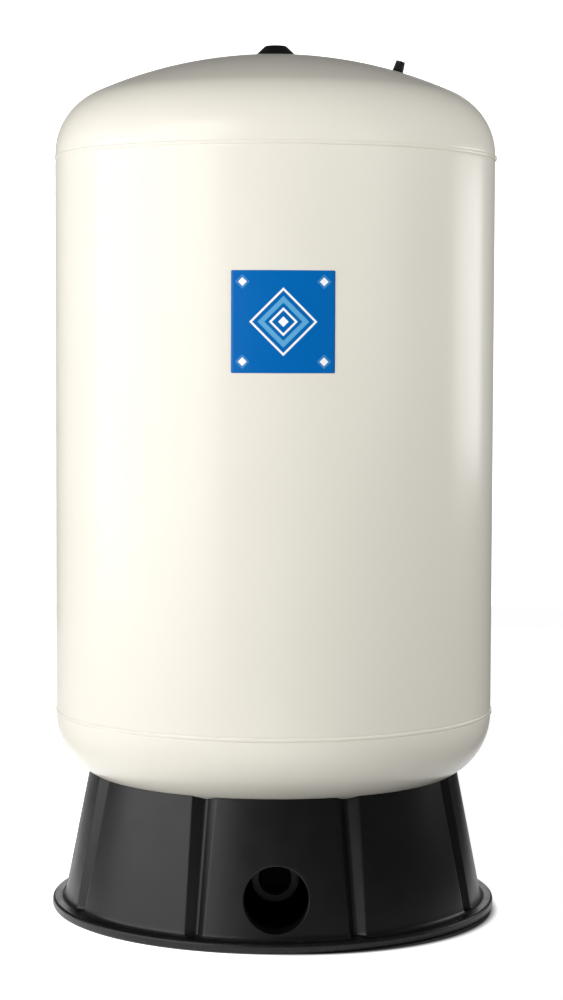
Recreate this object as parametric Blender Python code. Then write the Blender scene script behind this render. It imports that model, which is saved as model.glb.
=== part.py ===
"""Well pressure tank: a painted steel shell with a water cup inside, on a black moulded base.

Metres, +Z up. The origin is on the floor under the tank's axis, and the front is -Y, where the
base has its pipe opening. Azimuths are counted from the front towards +X.
"""
import bmesh
import bpy
from math import asin, ceil, cos, degrees, floor, pi, radians, sin, sqrt, tan
from mathutils import Matrix, Vector

# Clearance between pieces that touch
GAP = 0.0003

# Steel shell: two dished ends (crown and knuckle radius) and a rolled barrel
TANK_RADIUS = 0.315
SHELL_WALL = 0.0022
FLOOR_TO_SEAM = 0.287
BARREL_LENGTH = 0.790
CROWN_RADIUS = 0.630
KNUCKLE_RADIUS = 0.094
SKIRT = 0.005
SPIGOT_LENGTH = 0.012
BEAD_WIDTH = 0.005
BEAD_PROUD = 0.0012

# Water cup: liner and diaphragm, gripped by the clench ring
RING_RISE = 0.300
RING_WALL = 0.0015
RING_DEPTH = 0.014
LINER_WALL = 0.0015
DIAPHRAGM_WALL = 0.0025
DIAPHRAGM_BEAD = 0.0045
CUP_JOGGLE = 0.006

# Water connection under the lower dished end
PORT_NECK_RADIUS = 0.024
PORT_BORE_RADIUS = 0.018
PORT_DISC_RADIUS = 0.044
PORT_DISC_THICKNESS = 0.0025
GASKET_THICKNESS = 0.002
NUT_ACROSS_FLATS = 0.070
NUT_HEIGHT = 0.014
NECK_BELOW_NUT = 0.005

# Elbow, socket and dust plug
PIPE_HEIGHT = 0.076
TUBE_RADIUS = 0.0225
TUBE_WALL = 0.004
BEND_RADIUS = 0.038
SOCKET_REACH = 0.198
SOCKET_RADIUS = 0.0335
SOCKET_LENGTH = 0.034
SOCKET_SEAT = 0.014
SOCKET_STOP = 0.003
THREAD_RADIUS = 0.0196
MOUTH_RADIUS = 0.023
MOUTH_DEPTH = 0.003
PLUG_SET_BACK = 0.0045
PLUG_LENGTH = 0.012
PLUG_RIM = 0.0035
PLUG_RECESS = 0.006

# Crown boss and its cap
BOSS_RADIUS = 0.015
BOSS_HEIGHT = 0.012
BOSS_WELD = 0.002
BOSS_BORE_RADIUS = 0.0072
BOSS_FLOOR = 0.003
CROWN_CAP_HEIGHT = 0.015
CROWN_CAP_FOOT_RADIUS = 0.0305
CROWN_CAP_TOP_RADIUS = 0.0152
CROWN_CAP_WALL = 0.0026
CROWN_CAP_ROUND = 0.0008
CROWN_CAP_STEM = 0.0075

# Air valve, square to the upper dished end; heights are above the steel
VALVE_AZIMUTH = radians(90)
VALVE_RADIAL_DISTANCE = 0.174
VALVE_BOSS_RADIUS = 0.011
VALVE_BOSS_PROUD = 0.0015
VALVE_BOSS_DEPTH = 0.008
VALVE_WELD = 0.0012
VALVE_THREAD_RADIUS = 0.0063
VALVE_COLLAR_RADIUS = 0.0075
VALVE_COLLAR_HEIGHT = 0.0015
STEM_RADIUS = 0.00385
STEM_LENGTH = 0.0112
CORE_RADIUS = 0.00235
CORE_LENGTH = 0.0112
CORE_TOP_SET_BACK = 0.0013
CORE_BORE_RADIUS = 0.0018
CORE_WEB = 0.0018
PIN_RADIUS = 0.00055
PIN_HOLE_RADIUS = 0.0009
PIN_DISC_RADIUS = 0.0017
PIN_DISC_HEIGHT = 0.0016
PIN_COLLAR_RADIUS = 0.0015
PIN_COLLAR_HEIGHT = 0.0008
PIN_COLLAR_SET_BACK = 0.001
PIN_PROUD = 0.0004
SEAT_RADIUS = 0.0012
SEAT_THICKNESS = 0.003
SPRING_RADIUS = 0.0012
SPRING_WIRE_RADIUS = 0.0002
SPRING_TURNS = 4.5
CAP_FOOT_RADIUS = 0.0083
CAP_TOP_RADIUS = 0.0068
CAP_HEIGHT = 0.0162
CAP_ROUND = 0.0013
CAP_CROWN = 0.0033
SEAL_SECTION_RADIUS = 0.00085

# Label, a square patch bent round the barrel
LABEL_WIDTH = 0.138
LABEL_HEIGHT = 0.135
LABEL_THICKNESS = 0.00025
LABEL_BELOW_SEAM = 0.235
LABEL_AZIMUTH = radians(1.15)
LABEL_COLUMNS = 12

# Moulded base: a cone with upright grooves, a round opening and a rolled foot. The front half has
# four grooves evenly spaced about the opening, and the back half has the same.
BASE_WALL = 0.0045
RIM_INSET = 0.0485
BASE_TAPER = radians(11.1)
GROOVES_PER_HALF = 4
GROOVE_SPACING = radians(43)
GROOVE_DEPTH = 0.010
GROOVE_WIDTH_TOP = 0.035
GROOVE_WIDTH_FOOT = 0.0265
GROOVE_FLOOR_WIDTH = 0.004
FOOT_OVERHANG = 0.0056
FOOT_WIDTH = 0.0045
LIP_HEIGHT = 0.0138
LIP_ROUND = 0.004
COVE_RADIUS = 0.008
OPENING_RADIUS = 0.044
OPENING_HEIGHT = 0.067
OPENING_COLLAR_WALL = 0.0035
OPENING_COLLAR_DEPTH = 0.012

# Studs and lugs that hold the base
STUD_COUNT = 4
STUD_INSET = 0.077
STUD_RADIUS = 0.004
STUD_LENGTH = 0.027
STUD_HEAD_RADIUS = 0.0065
STUD_HEAD_HEIGHT = 0.002
LUG_DROP = 0.0135
LUG_THICKNESS = 0.005
LUG_WIDTH = 0.028
LUG_NOSE = 0.012
LUG_RIB_THICKNESS = 0.004
LUG_RIB_HEIGHT = 0.030
LUG_ROOT = 0.002
STUD_CLEARANCE = 0.0006
PUSH_NUT_RADIUS = 0.009
PUSH_NUT_HEIGHT = 0.0032

# Facets
SHELL_SEGMENTS = 48
CUP_SEGMENTS = 24
OPENING_SEGMENTS = 32
PIPE_SEGMENTS = 20
SMALL_SEGMENTS = 12
CROWN_STEPS = 5
KNUCKLE_STEPS = 5
CUP_CROWN_STEPS = 3
CUP_KNUCKLE_STEPS = 3
BEND_STEPS = 5
MERGE_DISTANCE = 0.000001
SMOOTH_ANGLE = radians(35)

# Levels that follow from the sizes above
LOWER_TANGENT_Z = FLOOR_TO_SEAM - SKIRT
UPPER_TANGENT_Z = FLOOR_TO_SEAM + BARREL_LENGTH + SKIRT
KNUCKLE_CENTRE_RADIUS = TANK_RADIUS - KNUCKLE_RADIUS
CROWN_DROP = sqrt((CROWN_RADIUS - KNUCKLE_RADIUS) ** 2 - KNUCKLE_CENTRE_RADIUS ** 2)
CROWN_ANGLE = asin(KNUCKLE_CENTRE_RADIUS / (CROWN_RADIUS - KNUCKLE_RADIUS))
CROWN_TOP_Z = UPPER_TANGENT_Z + CROWN_RADIUS - CROWN_DROP
PORT_HOLE_RADIUS = PORT_NECK_RADIUS + GAP
STUD_CIRCLE_RADIUS = TANK_RADIUS - STUD_INSET


def start_scene():
    for item in list(bpy.data.objects):
        bpy.data.objects.remove(item, do_unlink=True)


def make_material(name, colour, roughness, metallic):
    material = bpy.data.materials.new(name)
    material.use_nodes = True
    shader = material.node_tree.nodes["Principled BSDF"]
    shader.inputs["Base Color"].default_value = (*colour, 1.0)
    shader.inputs["Roughness"].default_value = roughness
    shader.inputs["Metallic"].default_value = metallic
    material.diffuse_color = (*colour, 1.0)
    return material


def add_object(name, bm, material, parent=None):
    bmesh.ops.recalc_face_normals(bm, faces=bm.faces)
    mesh = bpy.data.meshes.new(name)
    bm.to_mesh(mesh)
    bm.free()
    mesh.materials.append(material)
    mesh.shade_smooth()
    mesh.set_sharp_from_angle(angle=SMOOTH_ANGLE)
    item = bpy.data.objects.new(name, mesh)
    bpy.context.collection.objects.link(item)
    item.parent = parent
    return item


def add_axis(name, location, rotation=(0.0, 0.0, 0.0)):
    axis = bpy.data.objects.new(name, None)
    axis.location = location
    axis.rotation_euler = rotation
    axis.empty_display_size = 0.02
    bpy.context.collection.objects.link(axis)
    return axis


def add_tool(name, bm, parent=None):
    """A shape that only cuts or adds to another, hidden from the model."""
    bmesh.ops.recalc_face_normals(bm, faces=bm.faces)
    mesh = bpy.data.meshes.new(name)
    bm.to_mesh(mesh)
    bm.free()
    tool = bpy.data.objects.new(name, mesh)
    tool.hide_render = True
    tool.display_type = "WIRE"
    tool.parent = parent
    bpy.context.collection.objects.link(tool)
    return tool


def combine(target, tool, operation):
    modifier = target.modifiers.new(tool.name, "BOOLEAN")
    modifier.operation = operation
    modifier.solver = "EXACT"
    modifier.object = tool


def turned(outline, segments):
    """Mesh turned about Z from a closed outline of (radius, height) points."""
    bm = bmesh.new()
    points = [bm.verts.new((r, 0.0, z)) for r, z in outline]
    sides = []
    for a, b in zip(points, points[1:] + points[:1]):
        if a.co.x > MERGE_DISTANCE or b.co.x > MERGE_DISTANCE:
            sides.append(bm.edges.new((a, b)))
    bmesh.ops.spin(bm, geom=points + sides, cent=(0, 0, 0), axis=(0, 0, 1),
                   angle=2 * pi, steps=segments, use_merge=True)
    bmesh.ops.remove_doubles(bm, verts=bm.verts, dist=MERGE_DISTANCE)
    return bm


def rings_to_mesh(rings):
    """Closed band of faces through rings of points, the last ring joined to the first."""
    bm = bmesh.new()
    rows = [[bm.verts.new(point) for point in ring] for ring in rings]
    count = len(rows[0])
    for low, high in zip(rows, rows[1:] + rows[:1]):
        for i in range(count):
            j = (i + 1) % count
            bm.faces.new((low[i], low[j], high[j], high[i]))
    return bm


def arc(centre_r, centre_z, radius, start, end, steps):
    """Points on an arc, angles in degrees from outwards (0) to up (90)."""
    points = []
    for i in range(steps + 1):
        angle = radians(start + (end - start) * i / steps)
        points.append((centre_r + radius * cos(angle), centre_z + radius * sin(angle)))
    return points


def at_azimuth(radius, azimuth, z):
    return (radius * sin(azimuth), -radius * cos(azimuth), z)


def dish_height(r, inset):
    """Height over the tangent line of a dished end, inset below its outer face."""
    crown = CROWN_RADIUS - inset
    if r <= crown * sin(CROWN_ANGLE):
        return sqrt(crown ** 2 - r ** 2) - CROWN_DROP
    return sqrt((KNUCKLE_RADIUS - inset) ** 2 - (r - KNUCKLE_CENTRE_RADIUS) ** 2)


def dish_meridian(inset, start_radius, crown_steps, knuckle_steps):
    """Points (radius, height over the tangent line) of a dished end, from the middle outwards."""
    crown = CROWN_RADIUS - inset
    knuckle = KNUCKLE_RADIUS - inset
    start = asin(start_radius / crown)
    points = []
    for i in range(crown_steps + 1):
        angle = start + (CROWN_ANGLE - start) * i / crown_steps
        points.append((crown * sin(angle), crown * cos(angle) - CROWN_DROP))
    for i in range(1, knuckle_steps + 1):
        angle = CROWN_ANGLE + (pi / 2 - CROWN_ANGLE) * i / knuckle_steps
        points.append((KNUCKLE_CENTRE_RADIUS + knuckle * sin(angle), knuckle * cos(angle)))
    return points


def dish_inside(inset, hole_radius):
    """Meridian of an inner face; faces nested in one another have their corners in step."""
    hole = [(hole_radius, dish_height(hole_radius, inset))]
    return hole + dish_meridian(inset, PORT_DISC_RADIUS, CUP_CROWN_STEPS, CUP_KNUCKLE_STEPS)


def bowl_z(r, inset):
    """Height of the lower dished end's face, inset above its underside."""
    return LOWER_TANGENT_Z - dish_height(r, inset)


def dish_outline(hole_radius):
    """Section of a dished end with its girth weld and the spigot that enters the barrel."""
    seam = -SKIRT
    shoulder = seam + GAP
    spigot = TANK_RADIUS - SHELL_WALL - GAP
    outside = dish_meridian(0.0, hole_radius, CROWN_STEPS, KNUCKLE_STEPS)
    edge = [
        (TANK_RADIUS, seam + BEAD_WIDTH / 2),
        (TANK_RADIUS + BEAD_PROUD, seam + BEAD_WIDTH / 4),
        (TANK_RADIUS + BEAD_PROUD, seam - BEAD_WIDTH / 4),
        (TANK_RADIUS + GAP, seam - BEAD_WIDTH / 2),
        (TANK_RADIUS + GAP, shoulder),
        (spigot, shoulder),
        (spigot, seam - SPIGOT_LENGTH),
        (spigot - SHELL_WALL, seam - SPIGOT_LENGTH),
        (spigot - SHELL_WALL, shoulder - SHELL_WALL),
        (TANK_RADIUS - SHELL_WALL, shoulder + SHELL_WALL),
    ]
    return outside + edge + dish_inside(SHELL_WALL, hole_radius)[::-1]


def build_shell(paint, valve_axis):
    top = [(r, UPPER_TANGENT_Z + h) for r, h in dish_outline(0.0)]
    top_dome = add_object("top_dome", turned(top, SHELL_SEGMENTS), paint)
    hole = [
        (0.0, VALVE_BOSS_PROUD + SHELL_WALL),
        (VALVE_BOSS_RADIUS + GAP, VALVE_BOSS_PROUD + SHELL_WALL),
        (VALVE_BOSS_RADIUS + GAP, -2 * SHELL_WALL),
        (0.0, -2 * SHELL_WALL),
    ]
    combine(top_dome, add_tool("valve_hole", turned(hole, SMALL_SEGMENTS), valve_axis), "DIFFERENCE")

    barrel_top = FLOOR_TO_SEAM + BARREL_LENGTH
    barrel = [
        (TANK_RADIUS, FLOOR_TO_SEAM),
        (TANK_RADIUS, barrel_top),
        (TANK_RADIUS - SHELL_WALL, barrel_top),
        (TANK_RADIUS - SHELL_WALL, FLOOR_TO_SEAM),
    ]
    add_object("barrel", turned(barrel, SHELL_SEGMENTS), paint)

    bottom = [(r, LOWER_TANGENT_Z - h) for r, h in dish_outline(PORT_HOLE_RADIUS)]
    add_object("bottom_dome", turned(bottom, SHELL_SEGMENTS), paint)


def cup_section(inset, rim_radius, joggle_z, rim_z):
    """One face of the water cup, from the port's edge up the bowl and the wall to its rim."""
    fit = cos(pi / SHELL_SEGMENTS)
    bowl = dish_inside(inset, PORT_HOLE_RADIUS)
    points = [(r, LOWER_TANGENT_Z - h) for r, h in bowl[:2]]
    points += [(r * fit, LOWER_TANGENT_Z - h) for r, h in bowl[2:]]
    wall = (TANK_RADIUS - inset) * fit
    return points + [(wall, joggle_z - CUP_JOGGLE), (rim_radius, joggle_z), (rim_radius, rim_z)]


def build_cup(plastic, rubber, steel):
    """Liner and diaphragm nested in the lower half, their rims inside the clench ring."""
    fit = cos(pi / SHELL_SEGMENTS)
    ring_z = FLOOR_TO_SEAM + RING_RISE
    skirt_z = ring_z - RING_DEPTH
    joggle_z = skirt_z - GAP
    ring_outer = (TANK_RADIUS - SHELL_WALL - GAP) * fit
    liner_rim = ring_outer - RING_WALL - GAP
    bead_outer = liner_rim - LINER_WALL - GAP
    ring_inner = bead_outer - DIAPHRAGM_BEAD - GAP
    rim_z = ring_z - RING_WALL - GAP

    ring = [
        (ring_outer, skirt_z),
        (ring_outer, ring_z),
        (ring_inner - RING_WALL, ring_z),
        (ring_inner - RING_WALL, skirt_z),
        (ring_inner, skirt_z),
        (ring_inner, ring_z - RING_WALL),
        (ring_outer - RING_WALL, ring_z - RING_WALL),
        (ring_outer - RING_WALL, skirt_z),
    ]
    add_object("clench_ring", turned(ring, CUP_SEGMENTS), steel)

    liner_inset = SHELL_WALL + SHELL_WALL + 2 * GAP
    liner_outside = cup_section(liner_inset, liner_rim, joggle_z, rim_z)
    liner_inside = cup_section(liner_inset + LINER_WALL, liner_rim - LINER_WALL, joggle_z, rim_z)
    add_object("liner", turned(liner_outside + liner_inside[::-1], CUP_SEGMENTS), plastic)

    cup_inset = liner_inset + LINER_WALL + GAP
    flat_z = port_disc_top() + GAP
    flat_radius = PORT_DISC_RADIUS + GAP
    bead_z = rim_z - DIAPHRAGM_BEAD
    outside = cup_section(cup_inset, bead_outer, joggle_z, rim_z)[2:]
    inside = cup_section(
        cup_inset + DIAPHRAGM_WALL, bead_outer - DIAPHRAGM_WALL, joggle_z, bead_z)[2:]
    under = [(0.0, flat_z), (flat_radius, flat_z)]
    over = [(flat_radius, flat_z + DIAPHRAGM_WALL), (0.0, flat_z + DIAPHRAGM_WALL)]
    bead = [(bead_outer - DIAPHRAGM_BEAD, rim_z), (bead_outer - DIAPHRAGM_BEAD, bead_z)]
    diaphragm = under + outside + bead + inside[::-1] + over
    add_object("diaphragm", turned(diaphragm, CUP_SEGMENTS), rubber)


def port_inset():
    """How far the liner's inner face lies above the lower dished end's underside."""
    return 2 * SHELL_WALL + 2 * GAP + LINER_WALL


def port_disc_top():
    under = port_inset() + GAP + GASKET_THICKNESS + GAP
    return bowl_z(PORT_DISC_RADIUS, under) + PORT_DISC_THICKNESS


def port_neck_bottom():
    return bowl_z(PORT_HOLE_RADIUS, 0.0) - GAP - NUT_HEIGHT - NECK_BELOW_NUT


def build_port(stainless, rubber, brass):
    gasket_under = port_inset() + GAP
    gasket_over = gasket_under + GASKET_THICKNESS
    gasket = [
        (PORT_HOLE_RADIUS, bowl_z(PORT_HOLE_RADIUS, gasket_under)),
        (PORT_DISC_RADIUS, bowl_z(PORT_DISC_RADIUS, gasket_under)),
        (PORT_DISC_RADIUS, bowl_z(PORT_DISC_RADIUS, gasket_over)),
        (PORT_HOLE_RADIUS, bowl_z(PORT_HOLE_RADIUS, gasket_over)),
    ]
    add_object("port_gasket", turned(gasket, PIPE_SEGMENTS), rubber)

    disc_under = gasket_over + GAP
    neck_bottom = port_neck_bottom()
    flange = [
        (PORT_BORE_RADIUS, port_disc_top()),
        (PORT_DISC_RADIUS, port_disc_top()),
        (PORT_DISC_RADIUS, bowl_z(PORT_DISC_RADIUS, disc_under)),
        (PORT_NECK_RADIUS, bowl_z(PORT_NECK_RADIUS, disc_under)),
        (PORT_NECK_RADIUS, neck_bottom),
        (PORT_BORE_RADIUS, neck_bottom),
    ]
    add_object("port_flange", turned(flange, PIPE_SEGMENTS), stainless)

    nut_top = bowl_z(PORT_HOLE_RADIUS, 0.0) - GAP
    nut_axis = add_axis("nut_axis", (0.0, 0.0, nut_top - NUT_HEIGHT / 2))
    hexagon = bmesh.new()
    corner = NUT_ACROSS_FLATS / 2 / cos(pi / 6)
    bmesh.ops.create_cone(hexagon, cap_ends=True, segments=6, radius1=corner, radius2=corner,
                          depth=NUT_HEIGHT)
    nut = add_object("port_nut", hexagon, brass, nut_axis)
    bore = bmesh.new()
    bmesh.ops.create_cone(bore, cap_ends=True, segments=PIPE_SEGMENTS, radius1=PORT_HOLE_RADIUS,
                          radius2=PORT_HOLE_RADIUS, depth=2 * NUT_HEIGHT)
    combine(nut, add_tool("nut_bore", bore, nut_axis), "DIFFERENCE")


def tube_ring(y, z, direction, radius):
    """Ring of points square to a path in the YZ plane; direction 0 is down, 90 degrees is front."""
    across = Vector((0.0, cos(direction), -sin(direction)))
    points = []
    for i in range(PIPE_SEGMENTS):
        angle = 2 * pi * i / PIPE_SEGMENTS
        side = Vector((cos(angle), 0.0, 0.0))
        points.append(Vector((0.0, y, z)) + radius * (side + sin(angle) * across))
    return points


def build_pipe(black):
    stations = [(0.0, port_neck_bottom() - GAP, 0.0)]
    for i in range(BEND_STEPS + 1):
        direction = pi / 2 * i / BEND_STEPS
        y = -BEND_RADIUS * (1 - cos(direction))
        z = PIPE_HEIGHT + BEND_RADIUS * (1 - sin(direction))
        stations.append((y, z, direction))
    socket_back = SOCKET_REACH - SOCKET_LENGTH
    stop = socket_back + SOCKET_SEAT
    stations.append((-(stop - GAP), PIPE_HEIGHT, pi / 2))
    outside = [tube_ring(*station, TUBE_RADIUS) for station in stations]
    inside = [tube_ring(*station, TUBE_RADIUS - TUBE_WALL) for station in stations]
    add_object("port_elbow", rings_to_mesh(outside + inside[::-1]), black)

    pipe_axis = add_axis("pipe_axis", (0.0, 0.0, PIPE_HEIGHT), (pi / 2, 0.0, 0.0))
    seat_radius = TUBE_RADIUS + GAP
    socket = [
        (seat_radius, socket_back),
        (SOCKET_RADIUS, socket_back),
        (SOCKET_RADIUS, SOCKET_REACH),
        (MOUTH_RADIUS, SOCKET_REACH),
        (THREAD_RADIUS, SOCKET_REACH - MOUTH_DEPTH),
        (THREAD_RADIUS, stop + SOCKET_STOP),
        (PORT_BORE_RADIUS, stop + SOCKET_STOP),
        (PORT_BORE_RADIUS, stop),
        (seat_radius, stop),
    ]
    add_object("pipe_socket", turned(socket, PIPE_SEGMENTS), black, pipe_axis)

    plug_radius = THREAD_RADIUS - GAP
    face = SOCKET_REACH - PLUG_SET_BACK
    plug = [
        (0.0, face - PLUG_LENGTH),
        (plug_radius, face - PLUG_LENGTH),
        (plug_radius, face),
        (plug_radius - PLUG_RIM, face),
        (plug_radius - PLUG_RIM, face - PLUG_RECESS),
        (0.0, face - PLUG_RECESS),
    ]
    add_object("port_plug", turned(plug, PIPE_SEGMENTS), black, pipe_axis)


def build_crown(paint, black):
    """Welded boss on the crown and the cap pushed into its bore."""
    crown_axis = add_axis("crown_axis", (0.0, 0.0, CROWN_TOP_Z))
    boss_top = GAP + BOSS_HEIGHT
    boss = [
        (0.0, GAP),
        (BOSS_RADIUS + BOSS_WELD, GAP),
        (BOSS_RADIUS, GAP + BOSS_WELD),
        (BOSS_RADIUS, boss_top),
        (BOSS_BORE_RADIUS, boss_top),
        (BOSS_BORE_RADIUS, GAP + BOSS_FLOOR),
        (0.0, GAP + BOSS_FLOOR),
    ]
    add_object("crown_boss", turned(boss, SMALL_SEGMENTS), paint, crown_axis)

    inner_foot = CROWN_CAP_FOOT_RADIUS - CROWN_CAP_WALL
    rim_z = dish_height(inner_foot, 0.0) - dish_height(0.0, 0.0) + GAP
    ceiling = boss_top + GAP
    inner_top = BOSS_RADIUS + GAP
    slope = (CROWN_CAP_FOOT_RADIUS - CROWN_CAP_TOP_RADIUS) / (CROWN_CAP_HEIGHT - rim_z)
    cone_top = rim_z + (inner_foot - inner_top) / slope
    stem = BOSS_BORE_RADIUS - GAP
    cap = [
        (0.0, CROWN_CAP_HEIGHT),
        (CROWN_CAP_TOP_RADIUS - CROWN_CAP_ROUND, CROWN_CAP_HEIGHT),
        (CROWN_CAP_TOP_RADIUS + CROWN_CAP_ROUND * slope, CROWN_CAP_HEIGHT - CROWN_CAP_ROUND),
        (CROWN_CAP_FOOT_RADIUS, rim_z),
        (inner_foot, rim_z),
        (inner_top, cone_top),
        (inner_top, ceiling),
        (stem, ceiling),
        (stem, ceiling - CROWN_CAP_STEM),
        (0.0, ceiling - CROWN_CAP_STEM),
    ]
    add_object("crown_cap", turned(cap, PIPE_SEGMENTS), black, crown_axis)


def add_valve_axis():
    """Axis of the air valve: its zero is on the steel, and it stands square to the dished end."""
    distance = VALVE_RADIAL_DISTANCE
    height = UPPER_TANGENT_Z + dish_height(distance, 0.0)
    tilt = asin(distance / CROWN_RADIUS)
    place = at_azimuth(distance, VALVE_AZIMUTH, height)
    turn = Matrix.Rotation(VALVE_AZIMUTH, 3, "Z") @ Matrix.Rotation(tilt, 3, "X")
    return add_axis("valve_axis", place, turn.to_euler())


def build_valve(valve_axis, paint, brass, steel, black, rubber):
    boss = [
        (VALVE_THREAD_RADIUS + GAP, VALVE_BOSS_PROUD),
        (VALVE_BOSS_RADIUS, VALVE_BOSS_PROUD),
        (VALVE_BOSS_RADIUS + VALVE_WELD, GAP),
        (VALVE_BOSS_RADIUS, GAP),
        (VALVE_BOSS_RADIUS, -VALVE_BOSS_DEPTH),
        (VALVE_THREAD_RADIUS + GAP, -VALVE_BOSS_DEPTH),
    ]
    add_object("valve_boss", turned(boss, SMALL_SEGMENTS), paint, valve_axis)

    collar = VALVE_BOSS_PROUD + GAP
    stem_foot = collar + VALVE_COLLAR_HEIGHT
    stem_top = stem_foot + STEM_LENGTH
    bore = CORE_RADIUS + GAP
    body = [
        (VALVE_THREAD_RADIUS, -VALVE_BOSS_DEPTH),
        (VALVE_THREAD_RADIUS, collar),
        (VALVE_COLLAR_RADIUS, collar),
        (VALVE_COLLAR_RADIUS, stem_foot),
        (STEM_RADIUS, stem_foot),
        (STEM_RADIUS, stem_top),
        (bore, stem_top),
        (bore, SEAT_THICKNESS - VALVE_BOSS_DEPTH),
        (SEAT_RADIUS, SEAT_THICKNESS - VALVE_BOSS_DEPTH),
        (SEAT_RADIUS, -VALVE_BOSS_DEPTH),
    ]
    add_object("valve_body", turned(body, SMALL_SEGMENTS), brass, valve_axis)

    core_top = stem_top - CORE_TOP_SET_BACK
    core_foot = core_top - CORE_LENGTH
    chamber_foot = core_foot + CORE_WEB
    chamber_top = core_top - CORE_WEB
    core = [
        (CORE_RADIUS, core_foot),
        (CORE_RADIUS, core_top),
        (PIN_HOLE_RADIUS, core_top),
        (PIN_HOLE_RADIUS, chamber_top),
        (CORE_BORE_RADIUS, chamber_top),
        (CORE_BORE_RADIUS, chamber_foot),
        (PIN_HOLE_RADIUS, chamber_foot),
        (PIN_HOLE_RADIUS, core_foot),
    ]
    add_object("valve_core", turned(core, SMALL_SEGMENTS), brass, valve_axis)

    disc_top = core_foot - GAP
    collar_top = chamber_top - PIN_COLLAR_SET_BACK
    collar_foot = collar_top - PIN_COLLAR_HEIGHT
    pin_top = core_top + PIN_PROUD
    pin = [
        (0.0, disc_top - PIN_DISC_HEIGHT),
        (PIN_DISC_RADIUS, disc_top - PIN_DISC_HEIGHT),
        (PIN_DISC_RADIUS, disc_top),
        (PIN_RADIUS, disc_top),
        (PIN_RADIUS, collar_foot),
        (PIN_COLLAR_RADIUS, collar_foot),
        (PIN_COLLAR_RADIUS, collar_top),
        (PIN_RADIUS, collar_top),
        (PIN_RADIUS, pin_top),
        (0.0, pin_top),
    ]
    add_object("valve_pin", turned(pin, SMALL_SEGMENTS), steel, valve_axis)

    build_spring(valve_axis, steel, chamber_foot + GAP, collar_foot - GAP)

    mouth = stem_foot + GAP
    cap_top = mouth + CAP_HEIGHT
    bore = STEM_RADIUS + GAP
    seal_outer = bore + 2 * SEAL_SECTION_RADIUS + GAP
    seal_seat = mouth + 2 * SEAL_SECTION_RADIUS + GAP
    cap = [
        (0.0, cap_top),
        (CAP_TOP_RADIUS - CAP_ROUND, cap_top),
        (CAP_TOP_RADIUS - CAP_ROUND / 3, cap_top - CAP_ROUND / 3),
        (CAP_TOP_RADIUS, cap_top - CAP_ROUND),
        (CAP_FOOT_RADIUS, mouth),
        (seal_outer, mouth),
        (seal_outer, seal_seat),
        (bore, seal_seat),
        (bore, cap_top - CAP_CROWN),
        (0.0, cap_top - CAP_CROWN),
    ]
    add_object("valve_cap", turned(cap, PIPE_SEGMENTS), black, valve_axis)

    section = arc(bore + SEAL_SECTION_RADIUS, mouth + SEAL_SECTION_RADIUS,
                  SEAL_SECTION_RADIUS, 0, 300, 5)
    add_object("valve_cap_seal", turned(section, SMALL_SEGMENTS), rubber, valve_axis)


def build_spring(valve_axis, steel, foot, top):
    steps_per_turn = 6
    count = int(SPRING_TURNS * steps_per_turn)
    low = foot + SPRING_WIRE_RADIUS
    high = top - SPRING_WIRE_RADIUS
    curve = bpy.data.curves.new("valve_spring", "CURVE")
    curve.dimensions = "3D"
    curve.bevel_depth = SPRING_WIRE_RADIUS
    curve.bevel_resolution = 1
    curve.use_fill_caps = True
    spline = curve.splines.new("POLY")
    spline.points.add(count)
    for i, point in enumerate(spline.points):
        angle = 2 * pi * i / steps_per_turn
        height = low + (high - low) * i / count
        point.co = (SPRING_RADIUS * cos(angle), SPRING_RADIUS * sin(angle), height, 1.0)
    curve.materials.append(steel)
    spring = bpy.data.objects.new("valve_spring", curve)
    bpy.context.collection.objects.link(spring)
    spring.parent = valve_axis


def build_label(blue):
    centre_z = FLOOR_TO_SEAM + BARREL_LENGTH - LABEL_BELOW_SEAM
    inner = TANK_RADIUS + GAP
    outer = inner + LABEL_THICKNESS
    half_angle = LABEL_WIDTH / TANK_RADIUS / 2
    bm = bmesh.new()
    rows = []
    for i in range(LABEL_COLUMNS + 1):
        azimuth = LABEL_AZIMUTH + half_angle * (2 * i / LABEL_COLUMNS - 1)
        corners = []
        for radius, side in ((inner, -1), (outer, -1), (outer, 1), (inner, 1)):
            height = centre_z + side * LABEL_HEIGHT / 2
            corners.append(bm.verts.new(at_azimuth(radius, azimuth, height)))
        rows.append(corners)
    for left, right in zip(rows, rows[1:]):
        for i in range(4):
            j = (i + 1) % 4
            bm.faces.new((left[i], left[j], right[j], right[i]))
    bm.faces.new(rows[0])
    bm.faces.new(rows[-1][::-1])
    add_object("label", bm, blue)


def base_rim_z():
    return bowl_z(TANK_RADIUS - RIM_INSET, -GAP)


def base_radius(z):
    """Outer radius of the base's cone."""
    return TANK_RADIUS - RIM_INSET + (base_rim_z() - z) * tan(BASE_TAPER)


def base_top_z(inset):
    """Height where a wall face, inset from the cone, meets the dished end."""
    z = base_rim_z()
    for _ in range(12):
        z = bowl_z(base_radius(z) - inset, -GAP)
    return z


def groove_azimuths():
    azimuths = []
    for middle in (0.0, pi):
        for k in range(GROOVES_PER_HALF):
            azimuths.append(middle + GROOVE_SPACING * (k - (GROOVES_PER_HALF - 1) / 2))
    return azimuths


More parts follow.
